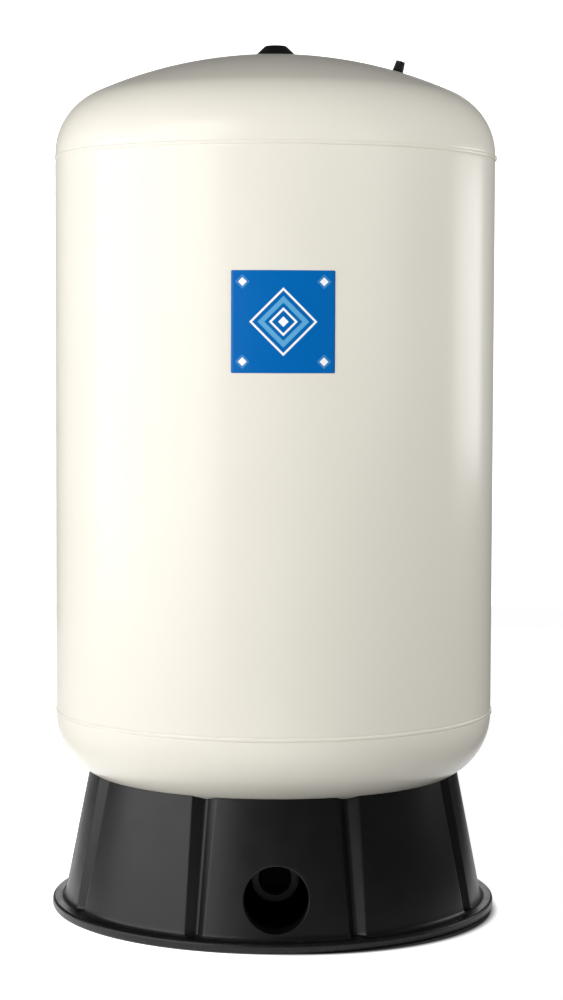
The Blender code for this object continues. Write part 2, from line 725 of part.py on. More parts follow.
def base_columns(z, extra_width):
    """Azimuths and depth shares round the base at one height: four to a groove, and between the
    grooves one at each corner of the dished end, so that the wall's edge follows its facets."""
    rim_z = base_rim_z()
    share = min(max((z - LIP_HEIGHT) / (rim_z - LIP_HEIGHT), 0.0), 1.0)
    width = GROOVE_WIDTH_FOOT + (GROOVE_WIDTH_TOP - GROOVE_WIDTH_FOOT) * share + extra_width
    edge = width / 2 / base_radius(z)
    valley = (GROOVE_FLOOR_WIDTH + extra_width) / 2 / base_radius(z)
    widest = max(GROOVE_WIDTH_TOP, GROOVE_WIDTH_FOOT) + 2 * BASE_WALL
    clear = widest / 2 / base_radius(rim_z)
    facet = 2 * pi / SHELL_SEGMENTS
    centres = groove_azimuths()
    columns = []
    for centre, following in zip(centres, centres[1:] + [centres[0] + 2 * pi]):
        columns += [(centre - edge, 0.0), (centre - valley, 1.0)]
        columns += [(centre + valley, 1.0), (centre + edge, 0.0)]
        first = ceil((centre + clear) / facet)
        last = floor((following - clear) / facet)
        columns += [(facet * i, 0.0) for i in range(first, last + 1)]
    return columns


def build_base(black):
    lip_radius = TANK_RADIUS + FOOT_OVERHANG
    nose = lip_radius - LIP_ROUND
    cove_z = LIP_HEIGHT + COVE_RADIUS
    cove_r = base_radius(cove_z) + COVE_RADIUS
    taper = degrees(BASE_TAPER)

    foot = [(nose, 0.0)]
    foot += arc(nose, LIP_ROUND, LIP_ROUND, -60, 0, 2)
    foot += arc(nose, LIP_HEIGHT - LIP_ROUND, LIP_ROUND, 0, 80, 2)
    cove = arc(cove_r, cove_z, COVE_RADIUS, 262, 180 + taper, 3)
    inner_cove = arc(cove_r, cove_z, COVE_RADIUS + BASE_WALL, 180 + taper, 262, 3)
    inner_foot = [(nose - FOOT_WIDTH, LIP_HEIGHT - BASE_WALL), (nose - FOOT_WIDTH, 0.0)]

    rings = [wall_ring(r, z, r, 0.0) for r, z in foot + cove[:1]]
    for r, z in cove[1:]:
        rings.append(wall_ring(r, z, base_radius(z) - GROOVE_DEPTH, 0.0))
    rings.append(wall_top(0.0))
    rings.append(wall_top(BASE_WALL))
    for r, z in inner_cove[:-1]:
        rings.append(wall_ring(r, z, base_radius(z) - BASE_WALL - GROOVE_DEPTH, BASE_WALL))
    rings += [wall_ring(r, z, r, BASE_WALL) for r, z in inner_cove[-1:] + inner_foot]
    base = add_object("base", rings_to_mesh(rings), black)
    add_lugs(base)
    add_opening(base)


def wall_ring(radius, z, groove_radius, extra_width):
    """Ring at one height, at one radius between the grooves and at another on their floors."""
    points = []
    for azimuth, share in base_columns(z, extra_width):
        points.append(at_azimuth(radius + (groove_radius - radius) * share, azimuth, z))
    return points


def wall_top(inset):
    """The wall's upper edge, each point on the dished end's face."""
    points = []
    for azimuth, share in base_columns(base_rim_z(), inset):
        depth = inset + GROOVE_DEPTH * share
        z = base_top_z(depth)
        points.append(at_azimuth(base_radius(z) - depth, azimuth, z))
    return points


def add_box(bm, low, high, azimuth=0.0):
    """Box between two corners of (out, across, up), turned to an azimuth."""
    box = bmesh.ops.create_cube(bm, size=1.0)
    for vert in box["verts"]:
        out = low[0] + (high[0] - low[0]) * (vert.co.x + 0.5)
        across = low[1] + (high[1] - low[1]) * (vert.co.y + 0.5)
        up = low[2] + (high[2] - low[2]) * (vert.co.z + 0.5)
        x = out * sin(azimuth) + across * cos(azimuth)
        y = -out * cos(azimuth) + across * sin(azimuth)
        vert.co = (x, y, up)


def stud_top():
    return bowl_z(STUD_CIRCLE_RADIUS - STUD_HEAD_RADIUS, 0.0) - GAP


def stud_azimuths():
    return [2 * pi * (k + 0.5) / STUD_COUNT for k in range(STUD_COUNT)]


def add_lugs(base):
    """Shelves inside the wall that the studs pass through, each over a rib."""
    lug_top = stud_top() - LUG_DROP
    lug_foot = lug_top - LUG_THICKNESS
    nose = STUD_CIRCLE_RADIUS - LUG_NOSE
    for number, azimuth in enumerate(stud_azimuths(), 1):
        root = base_radius(lug_top) - BASE_WALL + LUG_ROOT
        shelf = bmesh.new()
        add_box(shelf, (nose, -LUG_WIDTH / 2, lug_foot), (root, LUG_WIDTH / 2, lug_top), azimuth)
        combine(base, add_tool(f"lug_shelf_{number}", shelf), "UNION")
        combine(base, add_tool(f"lug_rib_{number}", lug_rib(azimuth, lug_foot)), "UNION")
        hole = bmesh.new()
        place = Matrix.Translation(at_azimuth(STUD_CIRCLE_RADIUS, azimuth, lug_top))
        radius = STUD_RADIUS + STUD_CLEARANCE
        bmesh.ops.create_cone(hole, cap_ends=True, segments=SMALL_SEGMENTS, radius1=radius,
                              radius2=radius, depth=4 * LUG_THICKNESS, matrix=place)
        combine(base, add_tool(f"lug_hole_{number}", hole), "DIFFERENCE")


def lug_rib(azimuth, top):
    """Upright triangle under a lug, from its shelf down the wall."""
    foot = top - LUG_RIB_HEIGHT
    start = STUD_CIRCLE_RADIUS + PUSH_NUT_RADIUS + 4 * GAP
    corners = [
        (start, top + LUG_THICKNESS / 2),
        (base_radius(top) - BASE_WALL + LUG_ROOT, top + LUG_THICKNESS / 2),
        (base_radius(foot) - BASE_WALL + LUG_ROOT, foot),
    ]
    bm = bmesh.new()
    sides = []
    for across in (-LUG_RIB_THICKNESS / 2, LUG_RIB_THICKNESS / 2):
        side = []
        for out, up in corners:
            x = out * sin(azimuth) + across * cos(azimuth)
            y = -out * cos(azimuth) + across * sin(azimuth)
            side.append(bm.verts.new((x, y, up)))
        sides.append(side)
    bm.faces.new(sides[0])
    bm.faces.new(sides[1][::-1])
    for i in range(3):
        j = (i + 1) % 3
        bm.faces.new((sides[0][i], sides[0][j], sides[1][j], sides[1][i]))
    return bm


def add_opening(base):
    """Round opening in the front panel, with a collar on the inside."""
    axis = add_axis("opening_axis", (0.0, 0.0, OPENING_HEIGHT), (pi / 2, 0.0, 0.0))
    low = OPENING_HEIGHT - OPENING_RADIUS - OPENING_COLLAR_WALL
    high = OPENING_HEIGHT + OPENING_RADIUS + OPENING_COLLAR_WALL
    back = base_radius(high) - BASE_WALL - OPENING_COLLAR_DEPTH
    front = base_radius(high) - BASE_WALL / 2
    collar = [
        (0.0, back),
        (OPENING_RADIUS + OPENING_COLLAR_WALL, back),
        (OPENING_RADIUS + OPENING_COLLAR_WALL, front),
        (0.0, front),
    ]
    combine(base, add_tool("opening_collar", turned(collar, OPENING_SEGMENTS), axis), "UNION")
    beyond = base_radius(low) + COVE_RADIUS
    hole = [
        (0.0, back - COVE_RADIUS),
        (OPENING_RADIUS, back - COVE_RADIUS),
        (OPENING_RADIUS, beyond),
        (0.0, beyond),
    ]
    combine(base, add_tool("opening_hole", turned(hole, OPENING_SEGMENTS), axis), "DIFFERENCE")


def build_fixings(steel):
    top = stud_top()
    stud = [
        (0.0, top),
        (STUD_HEAD_RADIUS, top),
        (STUD_RADIUS, top - STUD_HEAD_HEIGHT),
        (STUD_RADIUS, top - STUD_LENGTH),
        (0.0, top - STUD_LENGTH),
    ]
    nut_top = top - LUG_DROP - LUG_THICKNESS - GAP
    hole = STUD_RADIUS + GAP
    nut = [
        (hole, nut_top - PUSH_NUT_HEIGHT),
        (hole, nut_top),
        (PUSH_NUT_RADIUS, nut_top),
        (PUSH_NUT_RADIUS, nut_top - PUSH_NUT_HEIGHT / 2),
    ]
    for number, azimuth in enumerate(stud_azimuths(), 1):
        place = at_azimuth(STUD_CIRCLE_RADIUS, azimuth, 0.0)
        for name, outline in (("base_stud", stud), ("base_nut", nut)):
            item = add_object(f"{name}_{number}", turned(outline, SMALL_SEGMENTS), steel)
            item.location = place


def main():
    start_scene()
    paint = make_material("ivory_paint", (0.83, 0.80, 0.72), 0.3, 0.0)
    black = make_material("black_plastic", (0.02, 0.02, 0.022), 0.4, 0.0)
    blue = make_material("blue_film", (0.0, 0.16, 0.47), 0.4, 0.0)
    steel = make_material("zinc_steel", (0.6, 0.6, 0.6), 0.35, 1.0)
    stainless = make_material("stainless_steel", (0.62, 0.61, 0.58), 0.3, 1.0)
    brass = make_material("brass", (0.72, 0.53, 0.25), 0.3, 1.0)
    rubber = make_material("butyl_rubber", (0.02, 0.02, 0.02), 0.7, 0.0)
    white = make_material("polypropylene", (0.8, 0.8, 0.78), 0.5, 0.0)
    valve_axis = add_valve_axis()
    build_shell(paint, valve_axis)
    build_cup(white, rubber, steel)
    build_port(stainless, rubber, brass)
    build_pipe(black)
    build_crown(paint, black)
    build_valve(valve_axis, paint, brass, steel, black, rubber)
    build_label(blue)
    build_base(black)
    build_fixings(steel)


main()
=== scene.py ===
"""Well pressure tank: ivory powder-coated steel shell on a black moulded base, with a blue label.

Metres, +Z up. The origin is on the floor under the tank's axis, and the front is -Y. Azimuths are
counted from the front towards +X.
"""
from math import asin, cos, radians, sin

import bmesh
import bpy
import numpy as np
from mathutils import Matrix, Vector


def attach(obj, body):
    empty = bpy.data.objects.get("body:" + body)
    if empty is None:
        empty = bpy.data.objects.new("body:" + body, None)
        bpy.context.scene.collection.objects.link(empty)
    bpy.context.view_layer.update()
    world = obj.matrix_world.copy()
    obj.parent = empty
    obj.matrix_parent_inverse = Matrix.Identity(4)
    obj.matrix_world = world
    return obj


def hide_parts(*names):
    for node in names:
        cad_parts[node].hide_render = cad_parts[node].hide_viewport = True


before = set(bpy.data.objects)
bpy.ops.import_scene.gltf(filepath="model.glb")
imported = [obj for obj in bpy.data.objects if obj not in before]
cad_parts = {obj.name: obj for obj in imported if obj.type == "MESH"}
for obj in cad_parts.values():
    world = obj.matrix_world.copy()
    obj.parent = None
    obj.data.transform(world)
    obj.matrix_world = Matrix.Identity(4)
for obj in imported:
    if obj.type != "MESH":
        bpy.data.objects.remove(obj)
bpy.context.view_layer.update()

MM = 0.001
TURN = 2 * np.pi
MERGE_DISTANCE = 0.001 * MM

# Shell: the same sizes as the solids. GAP is the clearance between parts that touch
TANK_R = 315 * MM
STEEL = 2.2 * MM
LOWER_SEAM_Z = 287 * MM
UPPER_SEAM_Z = 1077 * MM
SKIRT = 5 * MM
GAP = 0.3 * MM
CROWN_R = 630 * MM
KNUCKLE_R = 94 * MM
KNUCKLE_CENTRE_R = TANK_R - KNUCKLE_R
CROWN_DROP = np.sqrt((CROWN_R - KNUCKLE_R) ** 2 - KNUCKLE_CENTRE_R ** 2)
CROWN_ANGLE = asin(KNUCKLE_CENTRE_R / (CROWN_R - KNUCKLE_R))
UPPER_TANGENT_Z = UPPER_SEAM_Z + SKIRT
LOWER_TANGENT_Z = LOWER_SEAM_Z - SKIRT
CROWN_TOP_Z = UPPER_TANGENT_Z + CROWN_R - CROWN_DROP
PORT_HOLE_R = 24.3 * MM
PORT_NECK = 19.3 * MM
DISH_COLUMNS = 240
WELD_STOP_AZIMUTH = radians(80.5)

# Label: its azimuth and height are those of its middle
LABEL_WIDTH = 138 * MM
LABEL_HEIGHT = 135 * MM
LABEL_THICKNESS = 0.25 * MM
LABEL_Z = 842 * MM
LABEL_AZIMUTH = radians(1.15)

# Base. A groove is GROOVE_WIDTH wide at the foot and by GROOVE_FLARE wider at the rim, and its
# rounding is a share of its depth
WALL = 4.5 * MM
RIM_R = TANK_R - 48.5 * MM
TAPER = np.tan(radians(11.1))
GROOVE_SPACING = radians(43)
GROOVE_DEPTH = 10 * MM
GROOVE_FLOOR = 4 * MM
GROOVE_WIDTH = 26.5 * MM
GROOVE_FLARE = 8.5 * MM
GROOVE_ROUNDING = 0.09
LIP_R = TANK_R + 5.6 * MM
LIP_ROUND = 4 * MM
LIP_Z = 13.8 * MM
FOOT_WIDTH = 4.5 * MM
COVE_R = 8 * MM
COVE_Z = LIP_Z + COVE_R
COVE_STEPS = 12
COVE_COS = 1 / np.sqrt(1 + TAPER ** 2)
COVE_SIN = TAPER * COVE_COS
OPENING_R = 44 * MM
OPENING_Z = 67 * MM
COLLAR_WALL = 3.5 * MM
COLLAR_DEPTH = 12 * MM
STUD_CIRCLE_R = TANK_R - 77 * MM

# Pipe
PIPE_Z = 76 * MM
PIPE_R = 22.5 * MM
PIPE_BORE_R = 18.5 * MM
BEND_R = 38 * MM
SOCKET_FACE = 198 * MM
SOCKET_BACK = SOCKET_FACE - 34 * MM

# Air valve
VALVE_R = 174 * MM
VALVE_TILT = asin(VALVE_R / CROWN_R)
VALVE_HOLE_R = 11.3 * MM

# Lamps in watts, sky and floor as strengths, where 1 is white
KEY_POWER = 58.5
HIGH_POWER = 26.0
BOUNCE_POWER = 81.0
BACK_POWER = 45.0
STRIP_POWER = 7.5
SKY = 0.04
SKY_TOP = 0.08
SKY_FALL = 2.5
FLOOR_LIFT = 0.985

# Floor and backdrop, in metres. The ranges: the floor's painted shade, a dark grey colour under the
# tank and round its foot, ends over the first, the floor's white over the second, and its own
# colour goes from white to grey over the third. The lean of the painted shade and the white's
# spread are metres for each metre to the right or to the back
FLOOR_HALF = 9.0
BACKDROP_Y = 4.0
BACKDROP_HALF = 1.1
BACKDROP_HEIGHT = 2.1
PAINTED_SHADE_LEAN = 0.09
PAINTED_SHADE_RANGE = (0.314, 0.326)
WHITE_SPREAD = 0.136
WHITE_RANGE = (0.43, 0.6)
CARD_RANGE = (-0.25, 0.35)


def smooth_step(x):
    """0 below 0, 1 above 1, and x^2 (3 - 2x) between."""
    x = np.clip(x, 0.0, 1.0)
    return x * x * (3 - 2 * x)


def soft_rise(x, reach):
    """The larger of x and 0, its corner rounded to (x + reach)^2 / (4 reach) within reach of 0."""
    return np.where(np.abs(x) < reach, (x + reach) ** 2 / (4 * reach), np.maximum(x, 0.0))


def bump_at(x, width):
    """Bell curve of height 1: e to the power of -(x / width)^2."""
    return np.exp(-(x / width) ** 2)


def arc(centre, radius, start, end, steps):
    """Points (r, z) on a circle, angles in degrees from outwards (0) to up (90)."""
    angle = np.radians(np.linspace(start, end, steps + 1))
    return np.stack([centre[0] + radius * np.cos(angle), centre[1] + radius * np.sin(angle)], -1)


def softened(corners, trims):
    """Closed outline with rounded corners: each corner C becomes the parabola
    (1-t)^2 S + 2t(1-t) C + t^2 E between points S and E, a trim before and after it."""
    corners = np.asarray(corners, float)
    trims = (np.zeros(len(corners)) + trims)[:, None]
    before = np.roll(corners, 1, 0) - corners
    after = np.roll(corners, -1, 0) - corners
    start = (corners + trims * before / np.linalg.norm(before, axis=1, keepdims=True))[:, None]
    end = (corners + trims * after / np.linalg.norm(after, axis=1, keepdims=True))[:, None]
    t = np.linspace(0.0, 1.0, 5)[None, :, None]
    curve = (1 - t) ** 2 * start + 2 * t * (1 - t) * corners[:, None] + t ** 2 * end
    return curve.reshape(-1, 2)


def around(r, azimuth, z):
    """Points r sin a, -r cos a, z at azimuth a."""
    r, azimuth, z = np.broadcast_arrays(r, azimuth, z)
    return np.stack([r * np.sin(azimuth), -r * np.cos(azimuth), z], -1)


def turned(outline, columns):
    """Grid of an outline (r, z) carried once round the Z axis."""
    azimuth = np.arange(columns) * TURN / columns
    return around(outline[:, :1], azimuth[None, :], outline[:, 1:])


def grid_faces(shape, close_rows, close_columns, keep=None):
    """Corner numbers of a grid's quads: corner (i, j) has number i * columns + j. A closed side
    joins its last line to its first, and keep picks the quads that stay."""
    rows, columns = shape[:2]
    i = np.arange(rows if close_rows else rows - 1)[:, None]
    j = np.arange(columns if close_columns else columns - 1)[None, :]
    low = i * columns
    high = (i + 1) % rows * columns
    right = (j + 1) % columns
    quads = np.stack([low + j, low + right, high + right, high + j], -1)
    return quads.reshape(-1, 4) if keep is None else quads[keep]


def make_piece(name, grids, finish, slot, body="tank", nodes=()):
    """Mesh of one or more grids, each (points, close_rows, close_columns, keep), whose touching
    edges are merged; its material slot is not used, and it rides on a body and stands for CAD
    nodes."""
    corners = []
    faces = []
    count = 0
    for points, close_rows, close_columns, keep in grids:
        corners.append(points.reshape(-1, 3))
        faces.append(grid_faces(points.shape, close_rows, close_columns, keep) + count)
        count += len(corners[-1])
    mesh = bpy.data.meshes.new(name)
    mesh.from_pydata(np.concatenate(corners).tolist(), [], np.concatenate(faces).tolist())
    bm = bmesh.new()
    bm.from_mesh(mesh)
    bmesh.ops.remove_doubles(bm, verts=bm.verts, dist=MERGE_DISTANCE)
    bmesh.ops.recalc_face_normals(bm, faces=bm.faces)
    bm.to_mesh(mesh)
    bm.free()
    mesh.shade_smooth()
    mesh.materials.append(finish)
    piece = bpy.data.objects.new(name, mesh)
    bpy.context.collection.objects.link(piece)
    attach(piece, body)
    if nodes:
        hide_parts(*nodes)


def solid_turned(name, outline, columns, finish, place=None, **kind):
    """Outline turned to a solid, then placed by a function of its points. The outline is closed,
    unless both its ends lie on the axis."""
    points = turned(outline, columns)
    if place:
        points = place(points)
    closed = bool(outline[0, 0] or outline[-1, 0])
    make_piece(name, [(points, closed, True, None)], finish, **kind)


def linear(code):
    """Linear colour of a hex code: c / 12.92 up to 0.04045, else ((c + 0.055) / 1.055)^2.4."""
    srgb = np.array([int(code[i:i + 2], 16) for i in (1, 3, 5)]) / 255
    value = np.where(srgb <= 0.04045, srgb / 12.92, ((srgb + 0.055) / 1.055) ** 2.4)
    return (*value.tolist(), 1.0)


def add_node(tree, kind, inputs, **settings):
    """Adds a node; inputs gives each socket a value or an output to link."""
    item = tree.nodes.new("ShaderNode" + kind)
    for name, value in settings.items():
        setattr(item, name, value)
    for socket, value in inputs.items():
        if isinstance(value, bpy.types.NodeSocket):
            tree.links.new(value, item.inputs[socket])
        else:
            item.inputs[socket].default_value = value
    return item


def new_finish(name, **values):
    """A material with its Principled shader's own sockets set. Gives the material, its node tree,
    the shader and the object's coordinates."""
    material = bpy.data.materials.new(name)
    material.use_nodes = True
    shader = material.node_tree.nodes["Principled BSDF"]
    for socket, value in values.items():
        shader.inputs[socket.replace("_", " ")].default_value = value
    place = add_node(material.node_tree, "TexCoord", {}).outputs["Object"]
    return material, material.node_tree, shader, place


def patches(tree, place, spacing, detail=3.0):
    """Cloudy pattern from 0 to 1 whose patches are about spacing metres apart."""
    noise = add_node(tree, "TexNoise", {"Vector": place, "Scale": 1 / spacing, "Detail": detail})
    return noise.outputs["Factor" if "Factor" in noise.outputs else "Fac"]


def between(tree, factor, low, high, source=(0.3, 0.7)):
    """Number that goes from low to high as a pattern goes through its source range."""
    return add_node(tree, "MapRange", {
        "Value": factor, "From Min": source[0], "From Max": source[1], "To Min": low,
        "To Max": high}).outputs["Result"]


def blend_colours(tree, factor, first, second):
    """Colour mixed between two hex codes by a pattern."""
    mix = add_node(tree, "Mix", {0: factor, 6: linear(first), 7: linear(second)}, data_type="RGBA")
    return mix.outputs[2]


def relief(tree, shader, height, depth):
    """Bump whose full height is depth metres."""
    bump = add_node(tree, "Bump", {"Height": height, "Distance": depth, "Strength": 1.0})
    tree.links.new(bump.outputs["Normal"], shader.inputs["Normal"])


def link(tree, output, shader, socket):
    tree.links.new(output, shader.inputs[socket])


def ivory_powder_coat(name, ripple=False):
    """Polyester powder baked on steel: a smooth, half-gloss skin with faint orange peel, waves
    about 3.5 mm apart and 0.01 mm high, and hardly any change of colour."""
    material, tree, shader, place = new_finish(name, IOR=1.5, Specular_IOR_Level=0.34)
    tone = patches(tree, place, 160 * MM, 1.0)
    link(tree, blend_colours(tree, tone, "#E9E5D9", "#EDE9DD"), shader, "Base Color")
    sheen = between(tree, patches(tree, place, 60 * MM, 1.0), 0.22, 0.26, (0.0, 1.0))
    link(tree, sheen, shader, "Roughness")
    height = patches(tree, place, 3.5 * MM, 1.0)
    if ripple:
        # Weld ripples under the paint: one every 2.6 mm, 0.08 mm from trough to crest
        ripples = round(TANK_R * TURN / (2.6 * MM))
        parts = add_node(tree, "SeparateXYZ", {0: place}).outputs
        turn = add_node(tree, "Math", {0: parts["X"], 1: parts["Y"]},
                        operation="ARCTAN2").outputs[0]
        phase = add_node(tree, "Math", {0: turn, 1: ripples}, operation="MULTIPLY").outputs[0]
        wave = add_node(tree, "Math", {0: phase}, operation="SINE").outputs[0]
        height = add_node(tree, "Math", {0: wave, 1: 4.0, 2: height},
                          operation="MULTIPLY_ADD").outputs[0]
    relief(tree, shader, height, 0.01 * MM)
    return material


def moulded_black(name, dark, pale, rough, grain):
    """Black-filled plastic from a spark-eroded mould: fine grain, half gloss, and a slight
    cloudiness where the melt flowed. The real grain, 0.1 mm, is drawn coarser so that it shows."""
    material, tree, shader, place = new_finish(name, IOR=1.49, Specular_IOR_Level=0.35)
    flow = between(tree, patches(tree, place, 60 * MM), 0.0, 1.0)
    link(tree, blend_colours(tree, flow, dark, pale), shader, "Base Color")
    sheen = between(tree, patches(tree, place, 35 * MM), rough[0], rough[1])
    link(tree, sheen, shader, "Roughness")
    relief(tree, shader, patches(tree, place, grain, 2.0), 0.04 * MM)
    return material


def scuffed_black(name):
    """The base's black, with the dull grey rubs that a foot gets from being slid on a floor."""
    material = moulded_black(name, "#09090A", "#0D0D0E", (0.34, 0.40), 1.2 * MM)
    tree = material.node_tree
    shader = tree.nodes["Principled BSDF"]
    place = tree.nodes["Texture Coordinate"].outputs["Object"]
    height = add_node(tree, "SeparateXYZ", {0: place}).outputs["Z"]
    low = between(tree, height, 1.0, 0.0, (4 * MM, 18 * MM))
    drawn = add_node(tree, "Mapping", {"Vector": place, "Scale": (1.0, 1.0, 5.0)}).outputs[0]
    rubs = between(tree, patches(tree, drawn, 6 * MM), 0.0, 1.0, (0.56, 0.70))
    share = add_node(tree, "Math", {0: low, 1: rubs}, operation="MULTIPLY").outputs[0]
    share = add_node(tree, "Math", {0: share, 1: 0.35}, operation="MULTIPLY").outputs[0]
    black = shader.inputs["Base Color"].links[0].from_socket
    mix = add_node(tree, "Mix", {0: share, 6: black, 7: linear("#4A4A4C")}, data_type="RGBA")
    link(tree, mix.outputs[2], shader, "Base Color")
    return material


def printed_film(name):
    """Polypropylene label film, blue printed on white stock: nested white and pale diamonds and
    small ones in the four corners, under a satin varnish."""
    material, tree, shader, place = new_finish(name, IOR=1.49, Specular_IOR_Level=0.16)
    parts = add_node(tree, "SeparateXYZ", {0: place}).outputs
    front = add_node(tree, "Math", {0: parts["Y"], 1: -1.0}, operation="MULTIPLY").outputs[0]
    turn = add_node(tree, "Math", {0: parts["X"], 1: front}, operation="ARCTAN2").outputs[0]
    across = add_node(tree, "Math", {0: turn, 1: TANK_R, 2: -LABEL_AZIMUTH * TANK_R},
                      operation="MULTIPLY_ADD").outputs[0]
    up = add_node(tree, "Math", {0: parts["Z"], 1: LABEL_Z}, operation="SUBTRACT").outputs[0]
    across = add_node(tree, "Math", {0: across}, operation="ABSOLUTE").outputs[0]
    up = add_node(tree, "Math", {0: up}, operation="ABSOLUTE").outputs[0]
    colour = linear("#0065B2")
    white = "#F4F8FB"
    pale = "#5FA8D6"
    middle = (0, 0)
    corner = (54, 52.5)
    # Each diamond: its centre (across, up) and the half diagonals it lies between, in mm, and its
    # colour
    for centre, inner, outer, code in (
            (middle, 41, 45, white), (middle, 25, 34, pale), (middle, 15, 19, white),
            (middle, 0, 7, white), (corner, 0, 6, white), (corner, 8, 9.2, pale)):
        side = add_node(tree, "Math", {0: across, 1: centre[0] * MM},
                        operation="SUBTRACT").outputs[0]
        side = add_node(tree, "Math", {0: side}, operation="ABSOLUTE").outputs[0]
        rise = add_node(tree, "Math", {0: up, 1: centre[1] * MM}, operation="SUBTRACT").outputs[0]
        rise = add_node(tree, "Math", {0: rise}, operation="ABSOLUTE").outputs[0]
        reach = add_node(tree, "Math", {0: side, 1: rise}, operation="ADD").outputs[0]
        inside = add_node(tree, "Math", {
            0: reach, 1: (inner + outer) / 2 * MM, 2: (outer - inner) / 2 * MM},
            operation="COMPARE").outputs[0]
        colour = add_node(tree, "Mix", {0: inside, 6: colour, 7: linear(code)},
                          data_type="RGBA").outputs[2]
    link(tree, colour, shader, "Base Color")
    link(tree, between(tree, patches(tree, place, 20 * MM), 0.30, 0.38), shader, "Roughness")
    relief(tree, shader, patches(tree, place, 8 * MM, 1.0), 0.02 * MM)
    return material


def metal(name, first, second, rough, spacing, stretch=(1.0, 1.0, 1.0)):
    """A bare metal whose colour and gloss change a little in patches or along tool marks."""
    material, tree, shader, place = new_finish(name, Metallic=1.0)
    drawn = add_node(tree, "Mapping", {"Vector": place, "Scale": stretch}).outputs[0]
    marks = patches(tree, drawn, spacing)
    tone = between(tree, marks, 0.0, 1.0)
    link(tree, blend_colours(tree, tone, first, second), shader, "Base Color")
    link(tree, between(tree, marks, rough[0], rough[1]), shader, "Roughness")
    relief(tree, shader, marks, 0.02 * MM)
    return material


def plain_polymer(name, first, second, rough, spacing):
    """A rubber or unpainted plastic with a dull skin that varies a little."""
    material, tree, shader, place = new_finish(name, IOR=1.5)
    marks = patches(tree, place, spacing)
    tone = between(tree, marks, 0.0, 1.0)
    link(tree, blend_colours(tree, tone, first, second), shader, "Base Color")
    link(tree, between(tree, marks, rough[0], rough[1]), shader, "Roughness")
    relief(tree, shader, marks, 0.03 * MM)
    return material


def dish_height(r, inset=0.0):
    """Height over the tangent line: sqrt(crown^2 - r^2) - drop on the crown, and
    sqrt(knuckle^2 - (r - knuckle centre)^2) on the knuckle."""
    crown = CROWN_R - inset
    knuckle = (KNUCKLE_R - inset) ** 2 - (r - KNUCKLE_CENTRE_R) ** 2
    on_crown = np.sqrt(crown ** 2 - np.square(r)) - CROWN_DROP
    return np.where(r <= crown * np.sin(CROWN_ANGLE), on_crown, np.sqrt(np.maximum(knuckle, 0.0)))


def dish_meridian(inset, start_r, crown_steps=30, knuckle_steps=30):
    """Points (r, height) of a dished end from start_r outwards: its crown, then its knuckle."""
    crown = CROWN_R - inset
    knuckle = KNUCKLE_R - inset
    tilt = np.linspace(asin(start_r / crown), CROWN_ANGLE, crown_steps + 1)
    top = np.stack([crown * np.sin(tilt), crown * np.cos(tilt) - CROWN_DROP], -1)
    tilt = np.linspace(CROWN_ANGLE, np.pi / 2, knuckle_steps + 1)[1:]
    side = np.stack([KNUCKLE_CENTRE_R + knuckle * np.sin(tilt), knuckle * np.cos(tilt)], -1)
    return np.concatenate([top, side])


def bowl_z(r):
    """Height of the lower dished end's underside, with the base's clearance."""
    return LOWER_TANGENT_Z - dish_height(r, -GAP)


def dish_outline(hole_r):
    """Section of a dished end: outer face, skirt, and the spigot that enters the barrel. With a
    hole of radius 0 it starts and ends on the axis."""
    seam = -SKIRT + GAP
    spigot = TANK_R - STEEL - GAP
    spigot_end = seam - 12 * MM
    edge = np.array([
        (TANK_R, seam + 0.4 * MM), (TANK_R - 0.4 * MM, seam), (spigot, seam), (spigot, spigot_end),
        (spigot - STEEL, spigot_end), (spigot - STEEL, seam - STEEL),
        (TANK_R - STEEL, seam + STEEL)])
    inner = dish_meridian(STEEL, hole_r, 30, 12)[::-1]
    return np.concatenate([dish_meridian(0.0, hole_r), edge, inner])


def build_upper_end(paint):
    """Upper dished end. A window round the air valve is left out of both faces, and a patch leads
    from its edges to a round hole: seen along the valve's axis, a crown point at distance rho lies
    at height sqrt(crown^2 - rho^2) over the crown's centre."""
    points = turned(dish_outline(0.0) + [0.0, UPPER_TANGENT_Z], DISH_COLUMNS)
    # Rows 17 to 23 and columns 54 to 66 of this grid are the window
    window = (17, 23, 54, 66)
    low, high, left, right = window
    last = len(points) - 1
    keep = np.ones((last, DISH_COLUMNS), bool)
    keep[low:high, left:right] = False
    keep[last - high:last - low, left:right] = False

    def to_hole(edge, crown, share):
        x = edge[:, 0] * cos(VALVE_TILT) - (edge[:, 2] - CROWN_TOP_Z + CROWN_R) * sin(VALVE_TILT)
        turn = np.arctan2(edge[:, 1], x)
        rho = (1 - share) * np.hypot(x, edge[:, 1]) + share * VALVE_HOLE_R
        height = np.sqrt(crown ** 2 - rho ** 2) - CROWN_R
        return leaning(np.stack([rho * np.cos(turn), rho * np.sin(turn), height], -1))

    share = np.array([0.0, 0.25, 0.5, 0.7, 0.85, 0.94, 1.0])[:, None]
    front = to_hole(window_edge(points, window), CROWN_R, share)
    back = to_hole(window_edge(points[::-1], window), CROWN_R - STEEL, share)[::-1]
    grids = [(points, False, True, keep), (np.concatenate([front, back]), False, True, None)]
    make_piece("upper_dished_end", grids, paint, slot="ivory_paint", nodes=["top_dome"])


def build_shell(paint, weld_paint):
    lower = dish_outline(PORT_HOLE_R) * [1.0, -1.0] + [0.0, LOWER_TANGENT_Z]
    build_upper_end(paint)
    solid_turned("lower_dished_end", lower, DISH_COLUMNS, paint, slot="ivory_paint",
                 nodes=["bottom_dome"])
    build_barrel(paint)
    build_weld("upper_girth_weld", UPPER_SEAM_Z, weld_paint, 2.5 * MM)
    build_weld("lower_girth_weld", LOWER_SEAM_Z, weld_paint, 1.2 * MM)


